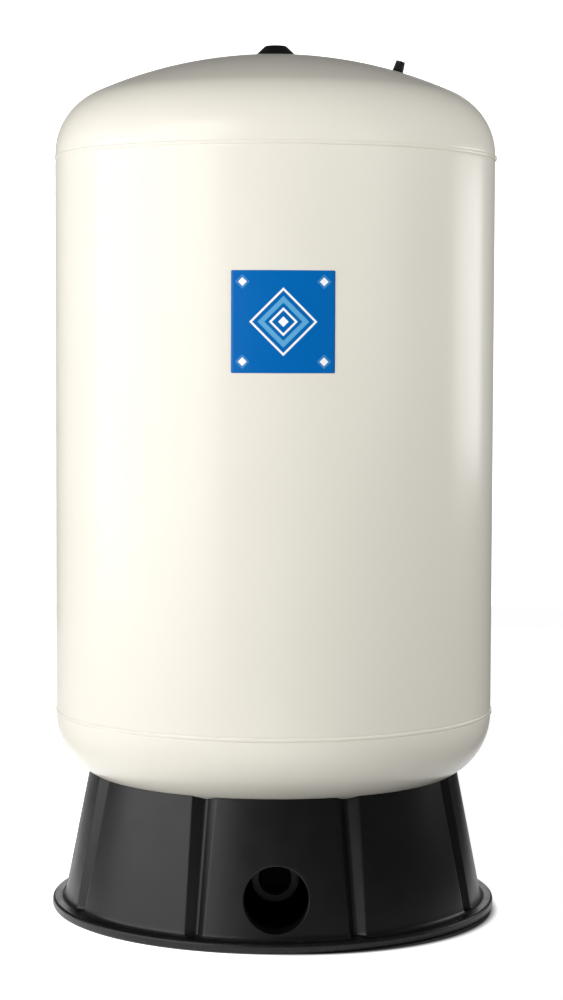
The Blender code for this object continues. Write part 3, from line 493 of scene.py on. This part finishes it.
def build_barrel(paint):
    """Rolled sheet: r = R less up to 0.12 mm of slow waves, (1 - sin(5a + 2 sin(4z))) / 2 of it."""
    columns = 288
    length = UPPER_SEAM_Z - LOWER_SEAM_Z
    bevel = 0.4 * MM
    margin = 6 * MM
    z = LOWER_SEAM_Z + np.concatenate([
        [0.0, bevel], np.linspace(margin, length - margin, 40), [length - bevel, length]])
    outer = np.stack([np.full(len(z), TANK_R), z], -1)
    outer[[0, -1], 0] -= bevel
    inner = np.array([(TANK_R - STEEL, UPPER_SEAM_Z), (TANK_R - STEEL, LOWER_SEAM_Z)])
    points = turned(np.concatenate([outer, inner]), columns)
    azimuth = np.arange(columns) * TURN / columns
    wave = 0.12 * MM * (1 - np.sin(5 * azimuth + 2 * np.sin(4 * z[:, None]))) / 2
    points[:len(z), :, :2] *= (1 - wave / TANK_R)[..., None]
    make_piece("rolled_barrel", [(points, True, True, None)], paint, slot="ivory_paint",
               nodes=["barrel"])


def build_weld(name, seam_z, paint, stop_height):
    """Bead round a seam: half an ellipse about 5 mm wide and 1.1 mm high, carried round the tank.
    Its height, width and place wander by products of sines, and it has a lump where the run
    stops."""
    columns = 900
    azimuth = np.arange(columns) * TURN / columns
    side = np.radians(np.linspace(-90, 90, 15))[:, None]
    stop = bump_at((azimuth - WELD_STOP_AZIMUTH) * TANK_R, 4.5 * MM)
    wander = np.sin(17 * azimuth) * np.sin(5 * azimuth + 1)
    rough = np.sin(151 * azimuth) * np.sin(67 * azimuth)
    spread = np.sin(23 * azimuth + 2) * np.sin(7 * azimuth)
    height = MM * (1.08 + 0.07 * wander + 0.05 * rough) + stop_height * stop
    half_width = MM * (2.6 + 0.25 * spread) + 1.6 * MM * stop
    r = TANK_R + height * np.cos(side)
    z = seam_z + half_width * np.sin(side) + 0.25 * MM * wander
    rows = around(r, azimuth, z)
    root = around(TANK_R - 0.35 * MM, azimuth, np.stack([z[-1], z[0]]))
    make_piece(name, [(np.concatenate([rows, root]), True, True, None)], paint, slot="ivory_paint")


def build_label(film):
    """Sheet bent round the barrel: half width w(v) = W/2 less the corner's rounding, azimuth
    a = a0 + u w(v) / R for u from -1 to 1, out on the front and back on the rear face. Its
    lowest and highest rows have no thickness, so that the two faces meet there."""
    columns = 41
    corner = 1.6 * MM
    end = LABEL_HEIGHT / 2
    near_end = end - corner * (1 - np.cos(np.linspace(0, np.pi / 2, 7)))
    v = np.concatenate([
        -near_end[:-1], np.linspace(-near_end[-1], near_end[-1], 21), near_end[-2::-1]])
    past = np.clip((np.abs(v) - (end - corner)) / corner, 0.0, 1.0)
    half_width = LABEL_WIDTH / 2 - corner * (1 - np.sqrt(1 - past ** 2))
    u = np.linspace(-1.0, 1.0, columns)
    u = np.concatenate([u, u[::-1]])
    thickness = np.concatenate([np.full(columns, LABEL_THICKNESS), np.zeros(columns)])
    inside = np.abs(v) < end - MERGE_DISTANCE
    r = TANK_R + GAP + thickness[None, :] * inside[:, None]
    azimuth = LABEL_AZIMUTH + u[None, :] * half_width[:, None] / TANK_R
    points = around(r, azimuth, LABEL_Z + v[:, None])
    make_piece("square_label", [(points, False, True, None)], film, slot="blue_film",
               nodes=["label"])


def wall_r(z, inset):
    """Radius of the base's wall: the cone RIM_R + (rim z - z) tan(taper), and below it the cove,
    an arc about a centre outside the wall that leads into the foot."""
    arc_r = COVE_R + inset * COVE_COS
    cove = COVE_CENTRE_R - np.sqrt(np.maximum(arc_r ** 2 - (z - COVE_Z) ** 2, 0.0))
    return np.where(z < COVE_Z - arc_r * COVE_SIN, cove, cone_r(z) - inset)


def cone_r(z):
    return RIM_R + (RIM_Z - z) * TAPER


def groove_share(azimuth, z, extra):
    """How deep a groove is, from 0 to 1: a valley whose sides rise straight from a narrow floor
    to edges that stand further apart at the rim than at the foot, with both corners of a side
    rounded. The distance to the nearest groove comes from the azimuth folded into the front right
    quarter, where two grooves lie half a spacing to each side of one whole spacing."""
    quarter = np.abs((azimuth + np.pi / 2) % np.pi - np.pi / 2)
    off_centre = np.abs(np.abs(quarter - GROOVE_SPACING) - GROOVE_SPACING / 2) * cone_r(z)
    up = np.clip((z - LIP_Z) / (RIM_Z - LIP_Z), 0.0, 1.0)
    half = (GROOVE_WIDTH + GROOVE_FLARE * up + extra) / 2
    floor = (GROOVE_FLOOR + extra) / 2
    rise = (half - off_centre) / (half - floor)
    return soft_rise(rise, GROOVE_ROUNDING) - soft_rise(rise - 1.0, GROOVE_ROUNDING)


def wall_points(z, azimuth, inset):
    """Points of a wall face: its radius goes from the wall's to that of a groove's floor, the
    cone's less the depth, by the groove's share. A groove ends in a shelf, a smooth step 1.6 mm
    high just over the cove's lowest line."""
    low = COVE_Z - COVE_R - inset * COVE_COS
    share = groove_share(azimuth, z, inset) * smooth_step((z - low - 0.1 * MM) / (1.6 * MM))
    wall = wall_r(z, inset)
    return around(wall + (cone_r(z) - inset - GROOVE_DEPTH - wall) * share, azimuth, z)


def wall_levels(azimuth, inset):
    """Heights of a wall face's rows: up the cove's arc, then in even steps to the dished end,
    which is lower over a groove, with one more row just below it. That top is found by stepping
    z = bowl_z(r(z)) until it stands."""
    top = np.full(len(azimuth), RIM_Z)
    for _ in range(12):
        depth = GROOVE_DEPTH * groove_share(azimuth, top, inset)
        top = bowl_z(wall_r(top, inset) - depth)
    arc_r = COVE_R + inset * COVE_COS
    turn = np.linspace(np.pi / 2, np.arctan(TAPER), COVE_STEPS + 1)[:-1, None]
    foot = COVE_Z - arc_r * COVE_SIN
    share = np.linspace(0.0, 1.0, 41)[:-1]
    share = np.append(share, [1 - 0.3 * MM / (RIM_Z - foot), 1.0])[:, None]
    cove = COVE_Z - arc_r * np.sin(turn) + 0 * azimuth
    return np.concatenate([cove, foot + share * (top - foot)])


def build_base(black):
    """One closed skin: the foot, the cove and the grooved wall outside, over the rim and down the
    inside again. A window in it takes a patch that leads through the round opening."""
    grooves = GROOVE_SPACING * np.array([-1.5, -0.5, 0.5, 1.5])
    grooves = np.concatenate([grooves, grooves + np.pi])
    following = np.append(grooves[1:], grooves[0] + TURN)
    # The columns stand closer together within this angle of a groove's middle
    near = 0.078
    columns = [np.linspace(centre - near, centre + near, 41)[:-1] for centre in grooves]
    columns += [np.linspace(a + near, b - near, 31)[:-1] for a, b in zip(grooves, following)]
    azimuth = np.sort((np.concatenate(columns) + np.pi) % TURN - np.pi)

    nose = LIP_R - LIP_ROUND
    lip = np.concatenate([
        [(nose - FOOT_WIDTH, 0.8 * MM), (nose - FOOT_WIDTH + 0.8 * MM, 0.0)],
        arc((nose, LIP_ROUND), LIP_ROUND, -90, 0, 8),
        arc((nose, LIP_Z - LIP_ROUND), LIP_ROUND, 0, 90, 10),
        [((nose + COVE_CENTRE_R) / 2, LIP_Z)]])
    outer_z = wall_levels(azimuth, 0.0)
    outer = wall_points(outer_z, azimuth, 0.0)
    inner = wall_points(wall_levels(azimuth, WALL), azimuth, WALL)
    foot = around(lip[:, :1], azimuth[None, :], lip[:, 1:])
    skin = np.concatenate([foot, outer, inner[::-1]])

    # The window reaches from a row of the cove up to a height, and to an azimuth on each side
    first_row = 5
    window_top = 124 * MM
    window_side = 0.2
    last_row = int(np.searchsorted(outer_z[:, len(azimuth) // 2], window_top))
    first_column, last_column = np.searchsorted(azimuth, [-window_side, window_side])
    keep = np.ones((len(skin), len(azimuth)), bool)
    start = len(foot) + first_row
    keep[start:len(foot) + last_row, first_column:last_column] = False
    back = len(skin) - 1
    keep[back - last_row:back - first_row, first_column:last_column] = False
    window = (first_row, last_row, first_column, last_column)
    patch = opening_patch(window_edge(outer, window), window_edge(inner, window))
    grids = [(skin, True, True, keep), (patch, False, True, None)]
    make_piece("moulded_base", grids, black, slot="black_plastic", nodes=["base"])
    build_lugs(black)


def window_edge(face, window):
    """Points round the edge of a window of a grid: along its foot, up, back and down."""
    low, high, left, right = window
    return np.concatenate([
        face[low, left:right], face[low:high, right], face[high, right:left:-1],
        face[high:low:-1, left]])


def opening_patch(outer_edge, inner_edge):
    """Skin from the window's edge to the opening and through it. Seen from the front, a point
    moves straight from its edge point to the circle at the same angle, and its depth is the wall
    face's, -sqrt(r(z)^2 - x^2). A quarter circle rounds the lip, a collar leads back, and the
    inner face is reached the same way."""
    centre = np.array([0.0, OPENING_Z])
    flat = outer_edge[:, [0, 2]] - centre
    angle = np.arctan2(flat[:, 1], flat[:, 0])
    spoke = np.stack([np.cos(angle), np.sin(angle)], -1)

    def on_wall(edge, r, share, inset):
        across = (1 - share) * edge[:, [0, 2]] + share * (centre + r * spoke)
        depth = -np.sqrt(wall_r(across[..., 1], inset) ** 2 - across[..., 0] ** 2)
        return np.stack([across[..., 0], depth, across[..., 1]], -1)

    lip = 1.0 * MM
    share = np.linspace(0.0, 1.0, 9)[:, None, None]
    front = on_wall(outer_edge, OPENING_R + lip, share, 0.0)
    back = on_wall(inner_edge, OPENING_R + COLLAR_WALL + lip, share, WALL)[::-1]
    swing = np.linspace(0.0, np.pi / 2, 7)[1:, None, None]
    radius = OPENING_R + lip * (1 - np.sin(swing))
    rounded = np.concatenate([
        centre[0] + radius * spoke[None, :, :1], front[-1:, :, 1:2] + lip * (1 - np.cos(swing)),
        centre[1] + radius * spoke[None, :, 1:]], -1)
    top = OPENING_Z + OPENING_R + COLLAR_WALL
    end_y = -(wall_r(top, 0.0) - WALL - COLLAR_DEPTH)
    collar = np.array([
        (OPENING_R, end_y - 0.8 * MM), (OPENING_R + 0.25 * MM, end_y - 0.25 * MM),
        (OPENING_R + 0.8 * MM, end_y), (OPENING_R + COLLAR_WALL - 0.8 * MM, end_y),
        (OPENING_R + COLLAR_WALL - 0.25 * MM, end_y - 0.25 * MM),
        (OPENING_R + COLLAR_WALL, end_y - 0.8 * MM)])[:, None, :] + 0 * angle[None, :, None]
    sleeve = np.stack([
        collar[..., 0] * spoke[:, 0], collar[..., 1], centre[1] + collar[..., 0] * spoke[:, 1]], -1)
    root = back[:1].copy()
    root[..., 0] = (OPENING_R + COLLAR_WALL) * spoke[:, 0]
    root[..., 2] = centre[1] + (OPENING_R + COLLAR_WALL) * spoke[:, 1]
    root[..., 1] += lip
    return np.concatenate([front, rounded, sleeve, root, back])


def build_lugs(black):
    """Four shelves inside the wall with a rib below each. Shelf and rib are rounded bars, each
    given by its two radii, half width, and lower and upper height."""
    stud_top = LOWER_TANGENT_Z - dish_height(STUD_CIRCLE_R - 6.5 * MM) - GAP
    lug_top = stud_top - 13.5 * MM
    root_r = wall_r(lug_top, WALL) + 2 * MM
    for number in range(4):
        turn = (number + 0.5) * TURN / 4
        shelf = (STUD_CIRCLE_R - 12 * MM, root_r, 14 * MM, lug_top - 5 * MM, lug_top)
        rib = (STUD_CIRCLE_R + 10.5 * MM, root_r, 2 * MM, lug_top - 26 * MM, lug_top - 3 * MM)
        parts = [rounded_bar(*size, turn) for size in (shelf, rib)]
        make_piece(f"base_lug_{number + 1}", [(part, False, True, None) for part in parts], black,
                   slot="black_plastic")


def rounded_bar(inner_r, outer_r, half_width, low, high, azimuth):
    """Bar along a spoke: a rounded rectangle carried from inner_r to outer_r, closed at its ends by
    rings that shrink to a point."""
    section = softened([
        (-half_width, low), (half_width, low), (half_width, high), (-half_width, high)],
        min(half_width, (high - low) / 2) * 0.4)
    middle = (low + high) / 2
    trim = 0.8 * MM
    out = np.array([inner_r, inner_r, inner_r + trim, outer_r, outer_r])[:, None]
    size = np.array([0.0, 1 - trim / half_width, 1.0, 1.0, 0.0])[:, None]
    across = size * section[:, 0]
    up = middle + size * (section[:, 1] - middle)
    x = out * np.sin(azimuth) + across * np.cos(azimuth)
    y = -out * np.cos(azimuth) + across * np.sin(azimuth)
    return np.stack([x, y, up + 0 * out], -1)


def forward(points):
    """Places a shape turned about Z along the pipe's axis: its height becomes its way forward."""
    return np.stack([points[..., 0], -points[..., 2], PIPE_Z + points[..., 1]], -1)


def build_pipe(black, plug_black):
    """Tube from the port, round a quarter bend to the socket: a circle square to the path, whose
    centre goes down, then along (1 - cos d, 1 - sin d) of the bend's radius, then forward."""
    bend = np.linspace(0.0, np.pi / 2, 21)
    neck_z = bowl_z(PORT_HOLE_R) + GAP - PORT_NECK
    stop = SOCKET_BACK + 14 * MM
    centre_y = np.concatenate([[0.0], -BEND_R * (1 - np.cos(bend)), [GAP - stop]])
    centre_z = np.concatenate([[neck_z - GAP], PIPE_Z + BEND_R * (1 - np.sin(bend)), [PIPE_Z]])
    way = np.concatenate([[0.0], bend, [np.pi / 2]])
    angle = np.arange(64) * TURN / 64

    def tube(radius):
        side = radius * np.cos(angle)[None, :] + 0 * way[:, None]
        y = centre_y[:, None] + radius * np.sin(angle) * np.cos(way)[:, None]
        z = centre_z[:, None] - radius * np.sin(angle) * np.sin(way)[:, None]
        return np.stack([side, y, z], -1)

    walls = np.concatenate([tube(PIPE_R), tube(PIPE_BORE_R)[::-1]])
    make_piece("pipe_bend", [(walls, True, True, None)], black, slot="black_plastic",
               nodes=["port_elbow"])

    bore_r = 18 * MM
    thread_r = 19.6 * MM
    seat_r = 22.8 * MM
    mouth_r = 23 * MM
    rim_r = 33.5 * MM
    chamfer = SOCKET_FACE - 3 * MM
    thread_end = stop + 3 * MM
    socket = softened([
        (seat_r, SOCKET_BACK), (rim_r, SOCKET_BACK), (rim_r, SOCKET_FACE), (mouth_r, SOCKET_FACE),
        (thread_r, chamfer), (thread_r, thread_end), (bore_r, thread_end), (bore_r, stop),
        (seat_r, stop)], np.array([0.6, 1.6, 1.8, 0.6, 0.5, 0.3, 0.3, 0.3, 0.3]) * MM)
    solid_turned("pipe_socket_ring", socket, 96, black, forward, slot="black_plastic",
                 nodes=["pipe_socket"])

    face = SOCKET_FACE - 4.5 * MM
    back = face - 12 * MM
    dish = face - 6 * MM
    plug_r = thread_r - GAP
    dish_r = plug_r - 3.5 * MM
    plug = softened([
        (0.0, back), (plug_r, back), (plug_r, face), (dish_r, face), (dish_r, dish), (0.0, dish)],
        np.array([0.0, 0.6, 0.7, 0.7, 0.8, 0.0]) * MM)
    solid_turned("socket_dust_plug", plug, 96, plug_black, forward, slot="black_plastic",
                 nodes=["port_plug"])


def leaning(points):
    """Places a shape on the air valve's axis, which leans outwards to +X square to the shell."""
    x = points[..., 0] * cos(VALVE_TILT) + points[..., 2] * sin(VALVE_TILT) + VALVE_R
    z = points[..., 2] * cos(VALVE_TILT) - points[..., 0] * sin(VALVE_TILT)
    return np.stack([x, points[..., 1], z + UPPER_TANGENT_Z + float(dish_height(VALVE_R))], -1)


def on_crown(points):
    return points + [0.0, 0.0, CROWN_TOP_Z]


def build_crown_cap(black):
    """Push-in cap: a cone with a rounded shoulder, a shallow dish on top and a thin brim."""
    foot_z = float(dish_height(27.9 * MM) - dish_height(0.0)) + GAP
    outline = softened([
        (0.0, 14.6 * MM), (9 * MM, 14.6 * MM), (9.6 * MM, 15 * MM), (15.2 * MM, 15 * MM),
        (30.5 * MM, foot_z + 0.9 * MM), (30.5 * MM, foot_z), (27.9 * MM, foot_z),
        (15.3 * MM, 12.3 * MM), (15.3 * MM, 12.6 * MM), (6.9 * MM, 12.6 * MM), (6.9 * MM, 5.1 * MM),
        (0.0, 5.1 * MM)], np.array([0, 0.25, 0.25, 1.2, 0.4, 0.3, 0.3, 0.1, 0.1, 0.3, 0.5, 0]) * MM)
    solid_turned("crown_push_cap", outline, 96, black, on_crown, slot="black_plastic",
                 nodes=["crown_cap"])


def build_valve(black, brass, paint):
    """Boss with its weld fillet, threaded stem, and the cap with 24 flutes: its radius is the
    cone's less 0.35 mm times (1 + cos 24a) / 2, fading to 0 at both ends."""
    boss = softened([
        (6.6 * MM, 1.5 * MM), (11 * MM, 1.5 * MM), (13.2 * MM, -0.2 * MM), (11 * MM, -1.2 * MM),
        (11 * MM, -8 * MM), (6.6 * MM, -8 * MM)], np.array([0.3, 0.8, 0.5, 0.3, 0.4, 0.3]) * MM)
    solid_turned("air_valve_boss", boss, 72, paint, leaning, slot="ivory_paint",
                 nodes=["valve_boss"])

    columns = 240
    mouth = 3.6 * MM
    top = mouth + 16.2 * MM
    mouth_r = 8.3 * MM
    top_r = 6.8 * MM
    rounding = 1.3 * MM
    side_z = np.linspace(mouth + 0.3 * MM, top - rounding, 28)
    side_r = mouth_r + (side_z - mouth) / (top - mouth - rounding) * (top_r - mouth_r)
    flare = 0.25 * MM * bump_at(side_z - mouth, 2.2 * MM)
    shoulder = arc((top_r - rounding, top - rounding), rounding, 0, 90, 6)[1:]
    seal_r = 6.15 * MM
    bore_r = 4.15 * MM
    inside = [(seal_r, mouth), (seal_r, mouth + 2 * MM), (bore_r, mouth + 2 * MM),
              (bore_r, top - 3.3 * MM), (0.0, top - 3.3 * MM)]
    foot = [(8.0 * MM, mouth), (8.25 * MM, mouth + 0.1 * MM)]
    side = np.stack([side_r - 0.25 * MM + flare, side_z], -1)
    dish = [(3.2 * MM, top), (2.8 * MM, top - 0.3 * MM), (0.0, top - 0.3 * MM)]
    outline = np.concatenate([dish[::-1], shoulder[::-1], side[::-1], foot[::-1], inside])
    points = turned(outline, columns)
    z = outline[:, 1]
    outside = np.arange(len(outline)) < len(dish) + len(shoulder) + len(side)
    fade = smooth_step((z - mouth - 1.6 * MM) / (1.5 * MM))
    fade = fade * smooth_step((top - 2.2 * MM - z) / (1.5 * MM))
    angle = np.arange(columns) * TURN / columns
    cut = 0.35 * MM * (fade * outside)[:, None] * (1 + np.cos(24 * angle)) / 2
    r = np.maximum(outline[:, :1], 1e-9)
    points[..., :2] *= (1 - cut / r)[..., None]
    make_piece("fluted_air_cap", [(leaning(points), False, True, None)], black, body="air_cap",
               slot="black_plastic", nodes=["valve_cap"])
    build_stem(brass)


def build_stem(brass):
    """Stem of the air valve with a 32 to the inch thread: the crest's radius less 0.9 mm times
    |s - 1/2|, where s is the fraction of z / pitch - a / turn past a whole number."""
    columns = 48
    foot = 3.3 * MM
    top = 14.5 * MM
    pitch = 0.794 * MM
    crest_r = 3.85 * MM
    z = np.linspace(foot, top - 0.5 * MM, 150)
    angle = np.arange(columns) * TURN / columns
    step = (z[:, None] / pitch - angle / TURN) % 1.0
    valley = 0.9 * MM * np.abs(step - 0.5)
    fade = smooth_step((z - foot - 1.5 * MM) / MM) * smooth_step((top - 0.7 * MM - z) / (0.6 * MM))
    thread = crest_r - valley * fade[:, None]
    head = turned(MM * np.array([
        (3.2, 14.5), (2.65, 14.5), (2.65, -5), (1.2, -5), (1.2, -8), (6.3, -8), (6.3, 1.8),
        (7.5, 1.8), (7.5, 3.2), (7.3, 3.3)]), columns)
    rows = np.concatenate([head, around(thread, angle[None, :], z[:, None])])
    make_piece("air_valve_stem", [(leaning(rows), True, True, None)], brass, slot="brass",
               nodes=["valve_body"])


def build_room():
    """White floor and a backdrop wall behind the tank. Seen by the camera or in a reflection they
    are lifted to white; under the tank and close round its foot the floor is not lifted, so it
    shows its real shade, and its colour there is a painted shade, dark grey, which reaches further
    out to the front right as a painted contact shadow."""
    floor, tree, shader, place = new_finish("white_floor", Roughness=0.9)
    shader.inputs["Specular IOR Level"].default_value = 0.0
    seen = seen_directly(tree)
    parts = add_node(tree, "SeparateXYZ", {0: place}).outputs
    # Painted contact shadow: on the right the dark grey painted shade reaches further to the front
    ahead = add_node(tree, "Math", {0: parts["X"], 1: PAINTED_SHADE_LEAN, 2: parts["Y"]},
                     operation="MULTIPLY_ADD").outputs[0]
    flat = add_node(tree, "CombineXYZ", {0: parts["X"], 1: ahead}).outputs[0]
    distance = add_node(tree, "VectorMath", {0: flat}, operation="LENGTH").outputs["Value"]
    clear = between(tree, distance, 0.0, 1.0, PAINTED_SHADE_RANGE)
    # The white path widens away from the camera
    sideways = add_node(tree, "Math", {0: parts["X"]}, operation="ABSOLUTE").outputs[0]
    sideways = add_node(tree, "Math", {0: parts["Y"], 1: -WHITE_SPREAD, 2: sideways},
                        operation="MULTIPLY_ADD").outputs[0]
    pool = between(tree, sideways, FLOOR_LIFT, 0.0, WHITE_RANGE)
    glow = add_node(tree, "Math", {0: seen, 1: clear}, operation="MULTIPLY").outputs[0]
    glow = add_node(tree, "Math", {0: glow, 1: pool}, operation="MULTIPLY").outputs[0]
    # Its own colour darkens to the right, where it throws less light up at the tank
    rightwards = between(tree, parts["X"], 0.0, 1.0, CARD_RANGE)
    card = blend_colours(tree, rightwards, "#F2F2F2", "#2C2C2C")
    # Painted shade: dark grey floor colour under the tank and round its foot, the card's colour
    # beyond
    painted_shade_colour = add_node(tree, "Mix", {0: clear, 6: linear("#464646"), 7: card},
                     data_type="RGBA").outputs[2]
    link(tree, painted_shade_colour, shader, "Base Color")
    shader.inputs["Emission Color"].default_value = (1.0, 1.0, 1.0, 1.0)
    link(tree, glow, shader, "Emission Strength")
    clear_from_behind(tree, shader)
    ground = FLOOR_HALF * np.array([[(-1, -1, 0), (1, -1, 0)], [(-1, 1, 0), (1, 1, 0)]])
    stage_sheet("studio_floor", ground, floor)

    wall, tree, shader, place = new_finish("white_backdrop", Roughness=0.9)
    shader.inputs["Base Color"].default_value = linear("#F2F2F2")
    shader.inputs["Specular IOR Level"].default_value = 0.0
    shader.inputs["Emission Color"].default_value = (1.0, 1.0, 1.0, 1.0)
    link(tree, seen_directly(tree), shader, "Emission Strength")
    clear_from_behind(tree, shader)
    sheet = np.array([
        [(side * BACKDROP_HALF, BACKDROP_Y, z) for side in (-1, 1)]
        for z in (0.0, BACKDROP_HEIGHT)])
    stage_sheet("studio_backdrop", sheet, wall)


def clear_from_behind(tree, shader):
    """Makes the back of a sheet transparent, so that it never hides the tank."""
    back = add_node(tree, "NewGeometry", {}).outputs["Backfacing"]
    clear = add_node(tree, "BsdfTransparent", {}).outputs[0]
    sides = add_node(tree, "MixShader", {0: back, 1: shader.outputs[0], 2: clear}).outputs[0]
    tree.links.new(sides, tree.nodes["Material Output"].inputs["Surface"])


def seen_directly(tree):
    """1 for rays from the camera, a mirror image or through glass, else 0."""
    path = add_node(tree, "LightPath", {}).outputs
    mirrored = add_node(tree, "Math", {0: path["Is Camera Ray"], 1: path["Is Glossy Ray"]},
                        operation="MAXIMUM").outputs[0]
    return add_node(tree, "Math", {0: mirrored, 1: path["Is Transmission Ray"]},
                    operation="MAXIMUM").outputs[0]


def stage_sheet(name, points, finish):
    mesh = bpy.data.meshes.new(name)
    faces = grid_faces(points.shape, False, False)
    mesh.from_pydata(points.reshape(-1, 3).tolist(), [], faces.tolist())
    mesh.materials.append(finish)
    sheet = bpy.data.objects.new(name, mesh)
    bpy.context.collection.objects.link(sheet)


def softbox(name, azimuth, reach, height, width, tall, power, mirrored=True, tilt=0.0):
    """Area lamp at an azimuth and a distance from the tank's axis, turned to the axis and tilted
    down by so many degrees."""
    lamp = bpy.data.lights.new(name, "AREA")
    lamp.shape = "RECTANGLE"
    lamp.size = width
    lamp.size_y = tall
    lamp.energy = power
    item = bpy.data.objects.new(name, lamp)
    turn = radians(azimuth)
    item.location = (reach * sin(turn), -reach * cos(turn), height)
    item.rotation_euler = (radians(90 - tilt), 0.0, turn)
    item.visible_camera = False
    item.visible_glossy = mirrored
    bpy.context.collection.objects.link(item)


def build_light():
    """A soft light on the left, a weaker one above it, a bounce card on the right, a strip behind
    on the right, a card behind, and a weak sky."""
    softbox("left_softbox", -65, 2.6, 0.95, 3.8, 1.6, KEY_POWER)
    softbox("high_softbox", -42, 2.7, 2.15, 2.2, 0.9, HIGH_POWER, tilt=18)
    softbox("right_bounce", 48, 3.6, 1.6, 2.0, 2.0, BOUNCE_POWER, mirrored=False)
    softbox("back_bounce", 180, 3.4, 1.0, 2.0, 2.0, BACK_POWER, mirrored=False)
    softbox("right_strip", 113, 2.2, 0.88, 1.1, 0.7, STRIP_POWER)

    world = bpy.data.worlds.new("studio")
    world.use_nodes = True
    tree = world.node_tree
    sky = add_node(tree, "TexCoord", {}).outputs["Generated"]
    up = add_node(tree, "SeparateXYZ", {0: sky}).outputs["Z"]
    low = add_node(tree, "Math", {0: 1.0, 1: up}, operation="SUBTRACT", use_clamp=True).outputs[0]
    fade = add_node(tree, "Math", {0: low, 1: SKY_FALL}, operation="POWER").outputs[0]
    strength = add_node(tree, "Math", {0: fade, 1: SKY, 2: SKY_TOP},
                        operation="MULTIPLY_ADD").outputs[0]
    tree.links.new(strength, tree.nodes["Background"].inputs["Strength"])
    tree.nodes["Background"].inputs["Color"].default_value = (1.0, 1.0, 1.0, 1.0)
    bpy.context.scene.world = world


def place_camera():
    """Camera of the photograph: its direction from yaw, pitch and roll, then turned about Z by
    the 0.9 degrees that the tank stands turned."""
    yaw, pitch, roll = 0.00304836, -0.0635896, 0.00356278
    tank_turn = radians(-0.9)
    ahead = Vector((sin(yaw) * cos(pitch), cos(yaw) * cos(pitch), sin(pitch)))
    right = Vector((cos(yaw), -sin(yaw), 0.0))
    up = right.cross(ahead)
    sideways = cos(roll) * right + sin(roll) * up
    upright = cos(roll) * up - sin(roll) * right
    axes = Matrix((sideways, upright, -ahead)).transposed()
    lens = bpy.data.cameras.new("camera")
    lens.lens = 86.583
    lens.sensor_width = 36.0
    camera = bpy.data.objects.new("camera", lens)
    camera.matrix_world = (Matrix.Translation((-0.05467, -3.48007, 0.80906))
                           @ (Matrix.Rotation(tank_turn, 3, "Z") @ axes).to_4x4())
    bpy.context.collection.objects.link(camera)
    bpy.context.scene.camera = camera
    bpy.context.scene.view_settings.view_transform = "Standard"


def dress_nodes(finishes):
    """Gives each CAD node that still shows the finish of its material slot's real one."""
    for finish, names in finishes:
        for name in names:
            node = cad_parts[name]
            for slot in node.material_slots:
                slot.material = finish


# The base's rim and cove, which follow from the lower dished end through bowl_z
RIM_Z = float(bowl_z(RIM_R))
COVE_CENTRE_R = float(RIM_R + (RIM_Z - (COVE_Z - COVE_R * COVE_SIN)) * TAPER + COVE_R * COVE_COS)


def main():
    place_camera()
    paint = ivory_powder_coat("ivory_powder_coat")
    weld_paint = ivory_powder_coat("ivory_powder_coat_on_weld", ripple=True)
    base_black = scuffed_black("moulded_polypropylene_black")
    cap_black = moulded_black("moulded_polyethylene_black", "#0E0E10", "#141416", (0.30, 0.38),
                              1.0 * MM)
    pipe_black = moulded_black("glass_filled_nylon_black", "#19191B", "#202022", (0.46, 0.56),
                               1.4 * MM)
    plug_black = plain_polymer("dust_plug_polyethylene", "#040404", "#070707", (0.66, 0.76), 5 * MM)
    plug_black.node_tree.nodes["Principled BSDF"].inputs["Specular IOR Level"].default_value = 0.1
    film = printed_film("printed_label_film")
    stainless = metal("turned_stainless_steel", "#A8A6A1", "#B9B7B1", (0.22, 0.36), 3 * MM,
                      (1, 1, 8))
    zinc = metal("zinc_plated_steel", "#9FA3A6", "#B6B8BA", (0.28, 0.42), 4 * MM)
    brass = metal("turned_brass", "#C29A55", "#CFA962", (0.22, 0.32), 2 * MM, (1, 1, 6))
    rubber = plain_polymer("butyl_rubber", "#161616", "#1E1E1E", (0.62, 0.78), 12 * MM)
    liner = plain_polymer("natural_polypropylene", "#DAD9D2", "#E2E1DA", (0.42, 0.52), 18 * MM)
    build_shell(paint, weld_paint)
    build_label(film)
    build_base(base_black)
    build_pipe(pipe_black, plug_black)
    build_crown_cap(cap_black)
    build_valve(cap_black, brass, paint)
    fixings = [f"base_{kind}_{number}" for kind in ("stud", "nut") for number in (1, 2, 3, 4)]
    dress_nodes([
        (liner, ["liner"]), (paint, ["crown_boss"]), (brass, ["port_nut", "valve_core"]),
        (stainless, ["port_flange"]),
        (zinc, fixings + ["clench_ring", "valve_spring", "valve_pin"]),
        (rubber, ["diaphragm", "port_gasket", "valve_cap_seal"])])
    build_room()
    build_light()


main()
